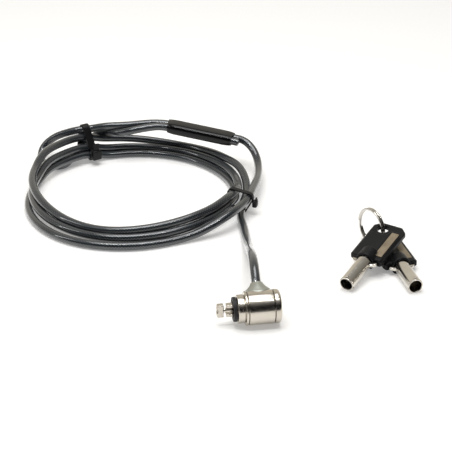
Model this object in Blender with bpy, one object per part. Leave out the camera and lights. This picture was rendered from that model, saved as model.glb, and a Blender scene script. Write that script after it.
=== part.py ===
"""Laptop cable lock: T-bar lock head, coiled steel cable with an end loop, two tubular keys on a ring."""
import math

import bmesh
import bpy
from mathutils import Matrix, Vector

# Every length below is in millimetres; make_object turns them into metres.
MM = 0.001
GAP = 0.3                         # clearance left between neighbouring pieces
STEPS = 40                        # facets round the larger turned pieces
SMALL_STEPS = 20                  # facets round posts and shafts
PIN_STEPS = 10                    # facets round the lock's pins

# Lock head. Its axis is parallel to X; x = 0 is the front face of the rubber washer.
LOCK_AXIS = (-45.2, -32.78, 8.0)  # where x = 0 of the lock axis lies
SLEEVE_RADIUS = 8.0
STEM_RADIUS = 6.0
BODY_BORE = 4.9
COLLAR_RADIUS = 6.65
WASHER = dict(front=0.0, back=1.6, radius=5.75, hole=3.7)
COLLAR = dict(front=1.9, back=5.1)
FRONT_RING = dict(front=5.4, back=6.5)
SLEEVE = dict(front=6.8, back=18.6)
REAR_CAP = dict(front=18.9, back=21.9, skirt=16.9)
STEM_BACK = 18.6
KEYWAY_RADIUS = 4.05
KEYWAY_NOTCH = 1.7
EDGE_CHAMFER = 0.25

# T-bar: the locking bar that goes through the 3 x 7 mm security slot.
BAR_LENGTH, BAR_WIDTH = 6.4, 2.7
BAR_FRONT, BAR_BACK = -7.6, -4.3
BAR_SHAFT_RADIUS, BAR_SHAFT_BACK = 1.1, 8.6
BAR_NOSE, BAR_SHOULDER = 0.5, 1.2  # how far the T's front corners slope back, and in
GUARD_PIN = dict(height=1.55, width=2.7, front=-3.2, back=3.3, inner=1.6)
POCKET_BACK, POCKET_ROOM = 3.55, 0.12
CROSS_PIN = dict(place=5.4, radius=0.42, half=1.65, hole=0.55)

# Tumblers: seven pins on one pitch circle behind the keyway.
PIN_COUNT = 7
PITCH_RADIUS = 3.42
PIN_RADIUS = 0.5
PIN_HOLE = 0.65
PIN_BLOCK = dict(front=6.3, back=12.2, radius=4.7, bore=1.95)
DRIVER = dict(front=10.6, back=12.1)
SPRING = dict(front=7.5, back=10.4, turns=4, wire=0.1)
KEY_PIN = dict(front=13.7, back=18.0, nose=0.12)
PLUG = dict(front=12.4, back=16.4, radius=4.65)
POST_RADIUS, POST_BACK = 2.45, 21.3
SPINDLE_RADIUS, SPINDLE_FRONT, SPINDLE_BORE, SPINDLE_BORE_END = 1.7, 4.2, 1.25, 9.0
CUT_DEPTHS = (0.2, 0.7, 0.4, 1.0, 0.5, 0.9, 0.3)    # how much each key pin is shorter

# Cable neck on the swivel sleeve, leaning up and away from the lock.
NECK_TILT = math.radians(35)
NECK_X = 12.7
NECK = dict(base=5.4, tip=2.95, length=13.2, bore=2.45, spigot=3.8, spigot_start=6.6, shoulder=7.4)
STOP = dict(front=6.7, back=9.6, radius=3.0, floor=7.7)

# Cable.
CABLE_RADIUS = 2.2
COIL_CENTRE = (-77.0, 105.0)
COIL = dict(inner=50.8, outer=61.6, bottom=1.3, top=12.4)
LOOP_SLOT = (118.5, 144.5)         # polar angles between which the end loop lies under the coil
LOOP_SLOT_TOP = 4.9

TAIL_ROUTE = (
    (-32.5, -26.23, 12.59), (-32.5, -21.98, 15.57), (-32.0, -14.5, 18.9), (-31.0, -4.5, 18.6),
    (-29.8, 7.0, 14.7), (-28.3, 19.0, 9.6), (-26.8, 32.0, 5.2), (-25.6, 45.0, 2.8),
    (-24.8, 57.0, 2.3), (-24.4, 66.6, 2.25),
)
STRAND_ROUTE = (
    (-29.6, 60.6, 9.5), (-24.5, 66.9, 9.5), (-19.2, 75.4, 9.5), (-14.4, 87.0, 9.1),
    (-10.0, 99.5, 8.3), (-7.0, 111.0, 7.9), (-5.8, 119.5, 9.0), (-6.2, 126.0, 11.6),
    (-8.2, 130.8, 14.4), (-10.8, 134.0, 16.1), (-13.6, 136.4, 16.75), (-16.54, 138.0, 17.0),
    (-20.27, 139.89, 17.35),
)
LOOP_ROUTE = (
    (-48.11, 154.01, 19.95), (-51.84, 155.9, 20.3), (-57.0, 157.8, 20.5), (-64.5, 158.7, 20.5),
    (-72.5, 158.8, 20.2), (-81.0, 159.4, 19.9), (-89.5, 160.7, 19.4), (-97.2, 162.5, 17.9),
    (-105.8, 163.4, 16.9), (-112.3, 164.3, 15.2), (-117.7, 165.3, 13.0), (-122.3, 166.2, 9.8),
    (-125.8, 165.2, 6.4), (-127.5, 161.8, 3.6), (-127.4, 156.6, 2.4), (-125.0, 150.9, 2.3),
    (-120.4, 147.2, 2.3), (-115.2, 147.9, 2.3), (-112.0, 152.4, 2.3), (-110.4, 157.8, 2.35),
    (-107.8, 162.6, 2.9), (-103.6, 166.2, 4.9), (-98.4, 168.2, 8.4), (-93.0, 167.3, 12.4),
    (-87.6, 162.8, 15.4), (-81.2, 156.2, 17.0), (-72.8, 153.6, 19.0), (-64.8, 153.9, 19.9),
    (-58.6, 153.5, 20.3), (-53.96, 151.7, 20.3), (-50.23, 149.81, 19.95),
)
CUT_ROUTE = ((-22.39, 135.69, 17.35), (-18.66, 133.8, 17.0), (-15.1, 132.0, 16.67))

# Moulded sleeve over the crimp that closes the end loop.
CRIMP_LEFT, CRIMP_RIGHT = (-52.9, 153.8, 20.3), (-17.6, 135.9, 17.0)
CRIMP_COVER = dict(width=10.6, height=5.9, radius=2.6, slot_width=9.7, slot_height=4.95)
FERRULE = dict(width=9.0, height=4.2, radius=2.0, length=30.0)
ROPE_RADIUS, ROPE_HALF = 1.4, 15.2
ROPE_SPACING = 4.7

# Ties round the bundle: radial section of the space each one holds.
TIE_THICKNESS, TIE_WIDTH = 1.0, 4.4
TIE_LEFT_ANGLE, TIE_RIGHT_ANGLE = 112.6, -27.0
TIE_LEFT_SECTION = ((50.3, 1.0), (71.9, 1.0), (71.9, 19.6), (69.9, 21.5), (64.0, 21.5), (50.3, 15.2))
TIE_RIGHT_SECTION = ((50.3, 1.0), (65.0, 1.0), (67.6, 5.0), (67.6, 11.5), (63.5, 15.0), (50.3, 15.0))

# Keys. A key's own axis runs from its mouth at x = 0 to the end of its head.
KEY_RADIUS, KEY_BORE, KEY_BORE_DEPTH, KEY_TUBE_END = 3.8, 3.1, 15.0, 21.0
EAR_WIDTH, EAR_THICKNESS, EAR_START = 13.0, 1.5, 17.4
TANG_WIDTH, TANG_END = 8.8, 36.0
NIB_SIZE = (1.6, 1.2, 1.2)
HEAD_START, HEAD_END, HEAD_WIDTH, HEAD_CHAMFER = 20.6, 50.0, 17.5, 3.2
HEAD_THICKNESS, PAD_THICKNESS, PAD_END, PAD_INSET = 2.8, 4.2, 40.5, 0.9
ARCH_RADIUS, ARCH_END = 5.0, 26.0
RING_HOLE = (45.2, 3.0)
RING_HOLE_RADIUS = 3.0
INLAY = dict(start=23.6, end=44.6, side=-5.0, width=4.2, thickness=0.6)
LOWER_KEY_ANGLE, UPPER_KEY_ANGLE, UPPER_KEY_TILT = 94.0, 48.1, 10.6

# Split ring, standing upright through both key heads.
RING_CENTRE = (37.27, 31.43, 10.3)
RING_RADIUS, RING_WIRE_RADIAL, RING_WIRE_AXIAL = 9.4, 1.2, 1.0
RING_TURNS, RING_WIRE_GAP = 1.94, 0.16
RING_DIRECTION = Vector((-0.391, 0.920, 0.0)).normalized()   # level line in the ring's plane
LOWER_HOLE_OFFSET, UPPER_HOLE_OFFSET = 6.25, 9.25            # ring centre to each hole


def clear_scene():
    for old in list(bpy.data.objects):
        bpy.data.objects.remove(old, do_unlink=True)


def make_material(name, colour, roughness, metallic):
    material = bpy.data.materials.new(name)
    material.use_nodes = True
    shader = material.node_tree.nodes["Principled BSDF"]
    shader.inputs["Base Color"].default_value = (*colour, 1.0)
    shader.inputs["Roughness"].default_value = roughness
    shader.inputs["Metallic"].default_value = metallic
    return material


def make_empty(name, location, rotation=(0.0, 0.0, 0.0), parent=None):
    empty = bpy.data.objects.new(name, None)
    empty.location = Vector(location) * MM
    empty.rotation_euler = rotation
    empty.parent = parent
    bpy.context.collection.objects.link(empty)
    return empty


def make_object(name, mesh_edit, material, parent=None, location=(0.0, 0.0, 0.0), smooth=True):
    """Turn a bmesh in millimetres into a placed object in metres."""
    bmesh.ops.recalc_face_normals(mesh_edit, faces=mesh_edit.faces)
    bmesh.ops.scale(mesh_edit, vec=(MM, MM, MM), verts=mesh_edit.verts)
    mesh = bpy.data.meshes.new(name)
    mesh_edit.to_mesh(mesh)
    mesh_edit.free()
    if smooth:
        mesh.shade_smooth()
        mesh.set_sharp_from_angle(angle=math.radians(35))
    thing = bpy.data.objects.new(name, mesh)
    thing.location = Vector(location) * MM
    thing.parent = parent
    bpy.context.collection.objects.link(thing)
    if material:
        mesh.materials.append(material)
    return thing


def cut(target, cutter, operation="DIFFERENCE"):
    cutter.hide_render = True
    cutter.display_type = "WIRE"
    modifier = target.modifiers.new(cutter.name, "BOOLEAN")
    modifier.operation = operation
    modifier.object = cutter
    modifier.solver = "EXACT"


def turned(outline, steps=STEPS):
    """Spin an outline of (x, radius) points round the X axis. A radius of 0 closes the end."""
    shape = bmesh.new()
    rings = []
    for x, radius in outline:
        if radius == 0:
            rings.append([shape.verts.new((x, 0.0, 0.0))])
            continue
        rings.append([
            shape.verts.new((x, -radius * math.sin(turn), -radius * math.cos(turn)))
            for turn in (math.tau * step / steps for step in range(steps))
        ])
    pairs = list(zip(rings, rings[1:]))
    if outline[0][1] > 0:
        pairs.append((rings[-1], rings[0]))
    for ring, following in pairs:
        for step in range(steps):
            after = (step + 1) % steps
            corners = [ring[step % len(ring)], ring[after % len(ring)],
                       following[after % len(following)], following[step % len(following)]]
            corners = list(dict.fromkeys(corners))
            if len(corners) > 2:
                shape.faces.new(corners)
    return shape


def rod(front, back, radius, steps=SMALL_STEPS, chamfer=0.0):
    outline = [(front, 0), (front, radius - chamfer)]
    if chamfer:
        outline += [(front + chamfer, radius), (back - chamfer, radius)]
    outline += [(back, radius - chamfer), (back, 0)]
    return turned(outline, steps)


def tube(front, back, radius, bore, steps=STEPS, chamfer=0.0):
    if not chamfer:
        return turned([(front, bore), (front, radius), (back, radius), (back, bore)], steps)
    return turned([(front, bore), (front, radius - chamfer), (front + chamfer, radius),
                   (back - chamfer, radius), (back, radius - chamfer), (back, bore)], steps)


def block(size, centre, bevel=0.0):
    shape = bmesh.new()
    bmesh.ops.create_cube(shape, size=1.0)
    bmesh.ops.scale(shape, vec=size, verts=shape.verts)
    bmesh.ops.translate(shape, vec=centre, verts=shape.verts)
    if bevel:
        bmesh.ops.bevel(shape, geom=shape.edges[:], offset=bevel, segments=2, affect="EDGES", profile=0.5)
    return shape


def prism(outline, low, high):
    """Extrude a closed outline of (x, y) points from z = low to z = high."""
    shape = bmesh.new()
    floor = [shape.verts.new((x, y, low)) for x, y in outline]
    roof = [shape.verts.new((x, y, high)) for x, y in outline]
    shape.faces.new(floor)
    shape.faces.new(roof)
    for near, far in zip(range(len(outline)), [*range(1, len(outline)), 0]):
        shape.faces.new((floor[near], floor[far], roof[far], roof[near]))
    return shape


def rounded_outline(width, height, radius, steps=4):
    """Points round a rounded rectangle centred on the origin."""
    points = []
    for corner, (side_x, side_y) in enumerate(((1, 1), (-1, 1), (-1, -1), (1, -1))):
        for step in range(steps + 1):
            turn = math.radians(90 * (corner + step / steps))
            points.append((side_x * (width / 2 - radius) + radius * math.cos(turn),
                           side_y * (height / 2 - radius) + radius * math.sin(turn)))
    return points


def smooth_route(points, spacing):
    """Catmull-Rom curve through the points, read at about the given spacing."""
    points = [Vector(point) for point in points]
    ends = [points[0] * 2 - points[1], *points, points[-1] * 2 - points[-2]]
    fine = []
    for before, here, after, beyond in zip(ends, ends[1:], ends[2:], ends[3:]):
        for step in range(12):
            t = step / 12
            fine.append(0.5 * (2 * here + (after - before) * t
                               + (2 * before - 5 * here + 4 * after - beyond) * t ** 2
                               + (3 * here - before - 3 * after + beyond) * t ** 3))
    fine.append(points[-1])
    lengths = [0.0]
    for near, far in zip(fine, fine[1:]):
        lengths.append(lengths[-1] + (far - near).length)
    count = max(2, round(lengths[-1] / spacing))
    route, index = [], 0
    for number in range(count + 1):
        target = lengths[-1] * number / count
        while index < len(lengths) - 2 and lengths[index + 1] < target:
            index += 1
        share = (target - lengths[index]) / (lengths[index + 1] - lengths[index])
        route.append(fine[index].lerp(fine[index + 1], min(1.0, share)))
    return route


def make_wire(name, route, radius, material, resolution=2, parent=None, location=(0.0, 0.0, 0.0)):
    """Round wire along a list of points, as a curve with a bevel and filled caps."""
    curve = bpy.data.curves.new(name, "CURVE")
    curve.dimensions = "3D"
    curve.bevel_depth = radius * MM
    curve.bevel_resolution = resolution
    curve.use_fill_caps = True
    spline = curve.splines.new("POLY")
    spline.points.add(len(route) - 1)
    for point, place in zip(spline.points, route):
        point.co = (*(Vector(place) * MM), 1.0)
    curve.materials.append(material)
    thing = bpy.data.objects.new(name, curve)
    thing.location = Vector(location) * MM
    thing.parent = parent
    bpy.context.collection.objects.link(thing)
    return thing


def pitch_place(number):
    turn = math.tau * number / PIN_COUNT
    return PITCH_RADIUS * math.sin(turn), PITCH_RADIUS * math.cos(turn)


def joined(shapes):
    """Put several bmeshes into one; its bodies stay separate."""
    together = bmesh.new()
    for shape in shapes:
        mesh = bpy.data.meshes.new("piece")
        shape.to_mesh(mesh)
        shape.free()
        together.from_mesh(mesh)
        bpy.data.meshes.remove(mesh)
    return together


def cut_pin_holes(target, front, back, axis):
    """Seven holes on the pitch circle, turned a little so that no facet lines up with the body's."""
    off_facet = Matrix.Rotation(math.radians(7), 3, "X")
    holes = []
    for number in range(PIN_COUNT):
        y, z = pitch_place(number)
        hole = rod(front, back, PIN_HOLE, PIN_STEPS + 2)
        bmesh.ops.rotate(hole, matrix=off_facet, verts=hole.verts)
        bmesh.ops.translate(hole, vec=(0.0, y, z), verts=hole.verts)
        holes.append(hole)
    cut(target, make_object(f"{target.name}_holes", joined(holes), None, axis))


def build_lock_body(axis, metal, rubber):
    """Everything that turns with the inner barrel inside the swivel sleeve."""
    body = make_object("lock_body", turned([
        (COLLAR["front"], 0), (COLLAR["front"], COLLAR_RADIUS - 0.4), (COLLAR["front"] + 0.4, COLLAR_RADIUS),
        (COLLAR["back"], COLLAR_RADIUS), (COLLAR["back"], STEM_RADIUS), (STEM_BACK, STEM_RADIUS),
        (STEM_BACK, BODY_BORE), (COLLAR["front"] + 2.1, BODY_BORE), (COLLAR["front"] + 2.1, 0),
    ]), metal, axis)
    shaft_hole = rod(COLLAR["front"] - 1.0, COLLAR["back"], BAR_SHAFT_RADIUS + GAP / 2)
    cut(body, make_object("shaft_hole", shaft_hole, None, axis))

    washer = tube(WASHER["front"], WASHER["back"], WASHER["radius"], WASHER["hole"], chamfer=EDGE_CHAMFER)
    make_object("rubber_washer", washer, rubber, axis)
    ring = tube(FRONT_RING["front"], FRONT_RING["back"], SLEEVE_RADIUS, STEM_RADIUS + GAP / 2,
                chamfer=EDGE_CHAMFER)
    make_object("front_ring", ring, metal, axis)

    width, height = GUARD_PIN["width"], GUARD_PIN["height"]
    length = GUARD_PIN["back"] - GUARD_PIN["front"]
    for name, side in (("guard_pin_upper", 1), ("guard_pin_lower", -1)):
        middle = side * (GUARD_PIN["inner"] + height / 2)
        pin = block((length, width, height), (GUARD_PIN["front"] + length / 2, 0.0, middle), EDGE_CHAMFER)
        make_object(name, pin, metal, axis, smooth=False)
        room = (length, width + 2 * POCKET_ROOM, height + 2 * POCKET_ROOM)
        pocket = block(room, (POCKET_BACK - length / 2, 0.0, middle))
        cut(body, make_object(f"{name}_pocket", pocket, None, axis, smooth=False))

    cap = make_object("rear_cap", turned([
        (REAR_CAP["skirt"], KEYWAY_RADIUS), (REAR_CAP["skirt"], BODY_BORE - 0.15),
        (REAR_CAP["front"], BODY_BORE - 0.15), (REAR_CAP["front"], SLEEVE_RADIUS),
        (REAR_CAP["back"] - 1.1, SLEEVE_RADIUS), (REAR_CAP["back"] - 0.5, SLEEVE_RADIUS - 0.25),
        (REAR_CAP["back"] - 0.1, SLEEVE_RADIUS - 0.8), (REAR_CAP["back"], SLEEVE_RADIUS - 1.4),
        (REAR_CAP["back"], KEYWAY_RADIUS),
    ]), metal, axis)
    notch = block((5.0, KEYWAY_NOTCH, 2.0), (REAR_CAP["back"], 0.0, KEYWAY_RADIUS + 0.3))
    cut(cap, make_object("keyway_notch", notch, None, axis, smooth=False))


def spring_route():
    points_per_turn = 8
    count = SPRING["turns"] * points_per_turn
    radius = PIN_RADIUS - SPRING["wire"]
    route = []
    for step in range(count + 1):
        turn = math.tau * step / points_per_turn
        x = SPRING["front"] + (SPRING["back"] - SPRING["front"]) * step / count
        route.append((x, radius * math.cos(turn), radius * math.sin(turn)))
    return route


def build_tumblers(axis, brass, steel):
    """Fixed pin block with its seven driver pins and springs."""
    block_body = make_object("pin_block", tube(PIN_BLOCK["front"], PIN_BLOCK["back"], PIN_BLOCK["radius"],
                                               PIN_BLOCK["bore"]), brass, axis)
    cut_pin_holes(block_body, SPRING["front"] - 0.2, PIN_BLOCK["back"] + 1.0, axis)
    for number in range(PIN_COUNT):
        y, z = pitch_place(number)
        driver = rod(DRIVER["front"], DRIVER["back"], PIN_RADIUS, PIN_STEPS)
        make_object(f"driver_pin_{number + 1}", driver, steel, axis, (0.0, y, z))
        make_wire(f"driver_spring_{number + 1}", spring_route(), SPRING["wire"], steel, 0, axis, (0.0, y, z))


def build_plug(axis, brass, steel, bar_metal):
    """The rotor that the key turns, with the T-bar pinned in its end."""
    plug = make_object("plug_rotor", turned([
        (SPINDLE_BORE_END, 0), (SPINDLE_BORE_END, SPINDLE_BORE), (SPINDLE_FRONT, SPINDLE_BORE),
        (SPINDLE_FRONT, SPINDLE_RADIUS),
        (PLUG["front"], SPINDLE_RADIUS), (PLUG["front"], PLUG["radius"]), (PLUG["back"], PLUG["radius"]),
        (PLUG["back"], POST_RADIUS), (POST_BACK - 0.4, POST_RADIUS), (POST_BACK, POST_RADIUS - 0.4),
        (POST_BACK, 0),
    ]), brass, axis)
    cut_pin_holes(plug, PLUG["front"] - 1.0, PLUG["back"] + 1.0, axis)
    sideways = Matrix.Rotation(math.pi / 2, 3, "Z")
    cross_place = (CROSS_PIN["place"], 0.0, 0.0)
    cross_hole = rod(-2 * CROSS_PIN["half"], 2 * CROSS_PIN["half"], CROSS_PIN["hole"], PIN_STEPS + 2)
    bmesh.ops.rotate(cross_hole, matrix=sideways, verts=cross_hole.verts)
    cutter = make_object("cross_hole", cross_hole, None, axis, cross_place)
    cut(plug, cutter)

    bar = make_object("locking_bar", rod(BAR_FRONT + 1.0, BAR_SHAFT_BACK, BAR_SHAFT_RADIUS), bar_metal, axis)
    half = BAR_LENGTH / 2
    head = prism([(BAR_FRONT + BAR_NOSE, -half), (BAR_BACK, -half), (BAR_BACK, half),
                  (BAR_FRONT + BAR_NOSE, half), (BAR_FRONT, half - BAR_SHOULDER),
                  (BAR_FRONT, BAR_SHOULDER - half)], -BAR_WIDTH / 2, BAR_WIDTH / 2)
    bmesh.ops.rotate(head, matrix=Matrix.Rotation(math.pi / 2, 3, "X"), verts=head.verts)
    bmesh.ops.bevel(head, geom=head.edges[:], offset=0.35, segments=2, affect="EDGES", profile=0.5)
    cut(bar, make_object("bar_head_shape", head, None, axis, smooth=False), "UNION")
    cut(bar, cutter)
    cross_pin = rod(-CROSS_PIN["half"], CROSS_PIN["half"], CROSS_PIN["radius"], PIN_STEPS + 2)
    bmesh.ops.rotate(cross_pin, matrix=sideways, verts=cross_pin.verts)
    make_object("cross_pin", cross_pin, steel, axis, cross_place)

    for number, depth in enumerate(CUT_DEPTHS):
        y, z = pitch_place(number)
        pin = rod(KEY_PIN["front"], KEY_PIN["back"] - depth, PIN_RADIUS, PIN_STEPS, KEY_PIN["nose"])
        make_object(f"key_pin_{number + 1}", pin, brass, axis, (0.0, y, z))


def build_swivel(axis, metal, satin, steel):
    """Sleeve that turns round the barrel and carries the cable neck."""
    sleeve = tube(SLEEVE["front"], SLEEVE["back"], SLEEVE_RADIUS, STEM_RADIUS + 0.2, chamfer=EDGE_CHAMFER)
    sleeve = make_object("swivel_sleeve", sleeve, metal, axis)
    lean = make_empty("neck_axis", (NECK_X, 0.0, 0.0), parent=axis)
    lean.rotation_euler = Vector((0.0, math.cos(NECK_TILT), math.sin(NECK_TILT))).to_track_quat(
        "X", "Z").to_euler()
    reach = (STEM_RADIUS - 2.0, SLEEVE_RADIUS + 2.0)
    cut(sleeve, make_object("neck_hole", rod(*reach, NECK["spigot"] + 0.2, 24), None, lean))
    pocket, base = STOP["radius"] + GAP, NECK["base"]
    neck = make_object("cable_neck", turned([
        (NECK["spigot_start"], pocket), (NECK["spigot_start"], NECK["spigot"]),
        (NECK["shoulder"], NECK["spigot"]), (NECK["shoulder"], base), (8.6, base - 0.3), (10.3, base - 1.6),
        (NECK["length"], NECK["tip"]), (NECK["length"], NECK["bore"]),
        (STOP["back"] + GAP, NECK["bore"]), (STOP["back"] + GAP, pocket),
    ], 32), satin, lean)
    saddle = tube(0.0, 30.0, SLEEVE_RADIUS + GAP / 2, STEM_RADIUS + 0.4)
    saddle = make_object("neck_saddle", saddle, None, axis)
    cut(saddle, make_object("spigot_room", rod(*reach, NECK["spigot"] + 0.01, 32), None, lean))
    cut(neck, saddle)
    socket = CABLE_RADIUS + 0.2
    stop = turned([(STOP["front"], 0), (STOP["front"], STOP["radius"]), (STOP["back"], STOP["radius"]),
                   (STOP["back"], socket), (STOP["floor"], socket), (STOP["floor"], 0)], 24)
    make_object("cable_stop", stop, steel, lean)


def build_cable(sheath, steel, black):
    """Coil, tail, end loop, crimp and its moulded sleeve."""
    spacing = CABLE_RADIUS * 4.6
    make_wire("cable_tail", smooth_route(TAIL_ROUTE, spacing), CABLE_RADIUS, sheath)
    make_wire("cable_strand", smooth_route(STRAND_ROUTE, spacing), CABLE_RADIUS, sheath)
    make_wire("cable_loop", smooth_route(LOOP_ROUTE, spacing), CABLE_RADIUS, sheath)
    make_wire("cable_cut_end", CUT_ROUTE, CABLE_RADIUS, sheath)

    upright = make_empty("coil_axis", (*COIL_CENTRE, 0.0), (0.0, -math.pi / 2, 0.0))
    ease = 2.4
    inner, outer, low, high = COIL["inner"], COIL["outer"], COIL["bottom"], COIL["top"]
    coil = make_object("cable_coil", turned([
        (low, inner + ease), (low, outer - ease), (low + ease, outer), (high - ease, outer),
        (high, outer - ease), (high, inner + ease), (high - ease, inner), (low + ease, inner),
    ], 72), sheath, upright)
    first, last = (math.radians(angle) for angle in LOOP_SLOT)
    turns = [first + (last - first) * step / 6 for step in range(7)]
    wedge = [((inner - 4) * math.cos(turn), (inner - 4) * math.sin(turn)) for turn in turns]
    wedge += [((outer + 4) * math.cos(turn), (outer + 4) * math.sin(turn)) for turn in reversed(turns)]
    slot = prism(wedge, -1.0, LOOP_SLOT_TOP)
    cut(coil, make_object("loop_slot", slot, None, None, (*COIL_CENTRE, 0.0), smooth=False))

    left, right = Vector(CRIMP_LEFT), Vector(CRIMP_RIGHT)
    length = (right - left).length
    along = make_empty("crimp_axis", (left + right) / 2)
    along.rotation_euler = (right - left).to_track_quat("X", "Z").to_euler()
    cover = cross_section_bar(CRIMP_COVER["width"], CRIMP_COVER["height"], CRIMP_COVER["radius"], length)
    rims = [edge for edge in cover.edges if abs(edge.verts[0].co.x - edge.verts[1].co.x) < 0.01]
    bmesh.ops.bevel(cover, geom=rims, offset=0.6, segments=2, affect="EDGES", profile=0.5)
    cover = make_object("crimp_cover", cover, black, along)
    slot_radius = CRIMP_COVER["radius"] - GAP
    slot = cross_section_bar(CRIMP_COVER["slot_width"], CRIMP_COVER["slot_height"], slot_radius, length + 4)
    cut(cover, make_object("crimp_slot", slot, None, along))
    ferrule = cross_section_bar(FERRULE["width"], FERRULE["height"], FERRULE["radius"], FERRULE["length"])
    ferrule = make_object("crimp_ferrule", ferrule, steel, along)
    for name, side in (("rope_core_far", 1), ("rope_core_near", -1)):
        place = (0.0, side * ROPE_SPACING / 2, 0.0)
        bore = rod(-FERRULE["length"], FERRULE["length"], ROPE_RADIUS + 0.2)
        cut(ferrule, make_object(f"{name}_bore", bore, None, along, place))
        make_object(name, rod(-ROPE_HALF, ROPE_HALF, ROPE_RADIUS, 12), steel, along, place)


def cross_section_bar(width, height, radius, length):
    """Rounded bar centred on the origin, running along X; width is across Y."""
    bar = prism(rounded_outline(width, height, radius), -length / 2, length / 2)
    turn = Matrix.Rotation(math.pi / 2, 3, "X") @ Matrix.Rotation(math.pi / 2, 3, "Y")
    bmesh.ops.rotate(bar, matrix=turn, verts=bar.verts)
    return bar


def offset_outline(outline, distance):
    """Move every side of a convex outline outwards by the distance."""
    moved = []
    for before, here, after in zip((outline[-1], *outline), outline, (*outline[1:], outline[0])):
        before, here, after = Vector(before), Vector(here), Vector(after)
        side_in, side_out = (here - before).normalized(), (after - here).normalized()
        normal_in, normal_out = Vector((side_in.y, -side_in.x)), Vector((side_out.y, -side_out.x))
        corner = (normal_in + normal_out).normalized()
        moved.append(here + corner * distance / corner.dot(normal_in))
    return moved


def build_tie(name, angle, section, head_place, head_size, black):
    """Nylon tie: a band round the bundle's radial section, with its lock head."""
    holder = make_empty(f"{name}_place", (*COIL_CENTRE, 0.0), (math.pi / 2, 0.0, math.radians(angle)))
    band = prism(offset_outline(section, TIE_THICKNESS), -TIE_WIDTH / 2, TIE_WIDTH / 2)
    band = make_object(name, band, black, holder, smooth=False)
    inside = prism(section, -TIE_WIDTH, TIE_WIDTH)
    cut(band, make_object(f"{name}_inside", inside, None, holder, smooth=False))
    head = block(head_size, (*head_place, 0.0), 0.5)
    cut(band, make_object(f"{name}_head", head, None, holder, smooth=False), "UNION")


def key_head_shape(inset, start, end):
    side = HEAD_WIDTH / 2 - inset
    chamfer = HEAD_CHAMFER
    return [(start, -side), (end - chamfer, -side), (end, -side + chamfer), (end, side - chamfer),
            (end - chamfer, side), (start, side)]


def build_key(label, place, metal, black, inlay):
    """Tubular key: rolled tube with ears and tang, moulded head, strip inlay."""
    hole_x, hole_y = RING_HOLE
    root = make_empty(f"key_{label}_mouth", (-hole_x, -hole_y, 0.0), parent=place)

    def shape(name, mesh_edit, smooth=False, location=(0.0, 0.0, 0.0)):
        return make_object(f"{name}_{label}", mesh_edit, None, root, location, smooth)

    key_tube = make_object(f"key_tube_{label}", turned([
        (KEY_BORE_DEPTH, 0), (KEY_BORE_DEPTH, KEY_BORE), (0.3, KEY_BORE), (0.0, KEY_BORE + 0.2),
        (0.0, KEY_RADIUS - 0.2), (0.3, KEY_RADIUS), (KEY_TUBE_END, KEY_RADIUS), (KEY_TUBE_END, 0),
    ], 32), metal, root)
    ear, tang_side, ear_end = EAR_WIDTH / 2, TANG_WIDTH / 2, HEAD_START - GAP
    tang = prism([(EAR_START, -ear), (ear_end, -ear), (ear_end, -tang_side), (TANG_END, -tang_side),
                  (TANG_END, tang_side), (ear_end, tang_side), (ear_end, ear), (EAR_START, ear)],
                 -EAR_THICKNESS / 2, EAR_THICKNESS / 2)
    cut(key_tube, shape("tang", tang), "UNION")
    cut(key_tube, shape("nib", block(NIB_SIZE, (NIB_SIZE[0], 0.0, KEY_RADIUS), 0.2)), "UNION")

    head = prism(key_head_shape(0.0, HEAD_START, HEAD_END), -HEAD_THICKNESS / 2, HEAD_THICKNESS / 2)
    head = make_object(f"key_head_{label}", head, black, root, smooth=False)
    pad = prism(key_head_shape(PAD_INSET, HEAD_START + 0.01, PAD_END), -PAD_THICKNESS / 2, PAD_THICKNESS / 2)
    bmesh.ops.bevel(pad, geom=pad.edges[:], offset=0.5, segments=1, affect="EDGES")
    cut(head, shape("pad", pad), "UNION")
    arch = rod(HEAD_START - 1.4, ARCH_END, ARCH_RADIUS, 24, 0.8)
    bmesh.ops.bisect_plane(arch, geom=[*arch.verts, *arch.edges, *arch.faces], clear_outer=True,
                           plane_co=(0.0, 0.0, 0.05 - KEY_RADIUS), plane_no=(0.0, 0.0, -1.0))
    bmesh.ops.holes_fill(arch, edges=arch.edges)
    cut(head, shape("arch", arch, smooth=True), "UNION")

    tube_room = rod(HEAD_START - 3.0, KEY_TUBE_END + GAP, KEY_RADIUS + 0.25, 24)
    cut(head, shape("tube_room", tube_room, smooth=True))
    slit = EAR_THICKNESS + 0.5
    room_start, room_end = HEAD_START - 3.0, TANG_END + GAP
    tang_room = block((room_end - room_start, TANG_WIDTH + 2 * GAP, slit),
                      ((room_end + room_start) / 2, 0.0, 0.0))
    cut(head, shape("tang_room", tang_room))
    ear_room = block((1.6, EAR_WIDTH + 2 * GAP, slit), (HEAD_START - 0.8, 0.0, 0.0))
    cut(head, shape("ear_room", ear_room))
    ring_hole = rod(-5.0, 5.0, RING_HOLE_RADIUS, 28)
    bmesh.ops.rotate(ring_hole, matrix=Matrix.Rotation(math.pi / 2, 3, "Y"), verts=ring_hole.verts)
    cut(head, shape("ring_hole", ring_hole, smooth=True, location=(hole_x, hole_y, 0.0)))

    length, width, thickness = INLAY["end"] - INLAY["start"], INLAY["width"], INLAY["thickness"]
    middle = (INLAY["start"] + length / 2, INLAY["side"])
    recess = block((length + 2 * GAP, width + 2 * GAP, 2 * thickness + 0.4),
                   (*middle, PAD_THICKNESS / 2 + 0.1))
    cut(head, shape("inlay_recess", recess))
    strip = block((length, width, thickness), (*middle, PAD_THICKNESS / 2 - 0.2), 0.1)
    make_object(f"key_inlay_{label}", strip, inlay, root, smooth=False)


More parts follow.
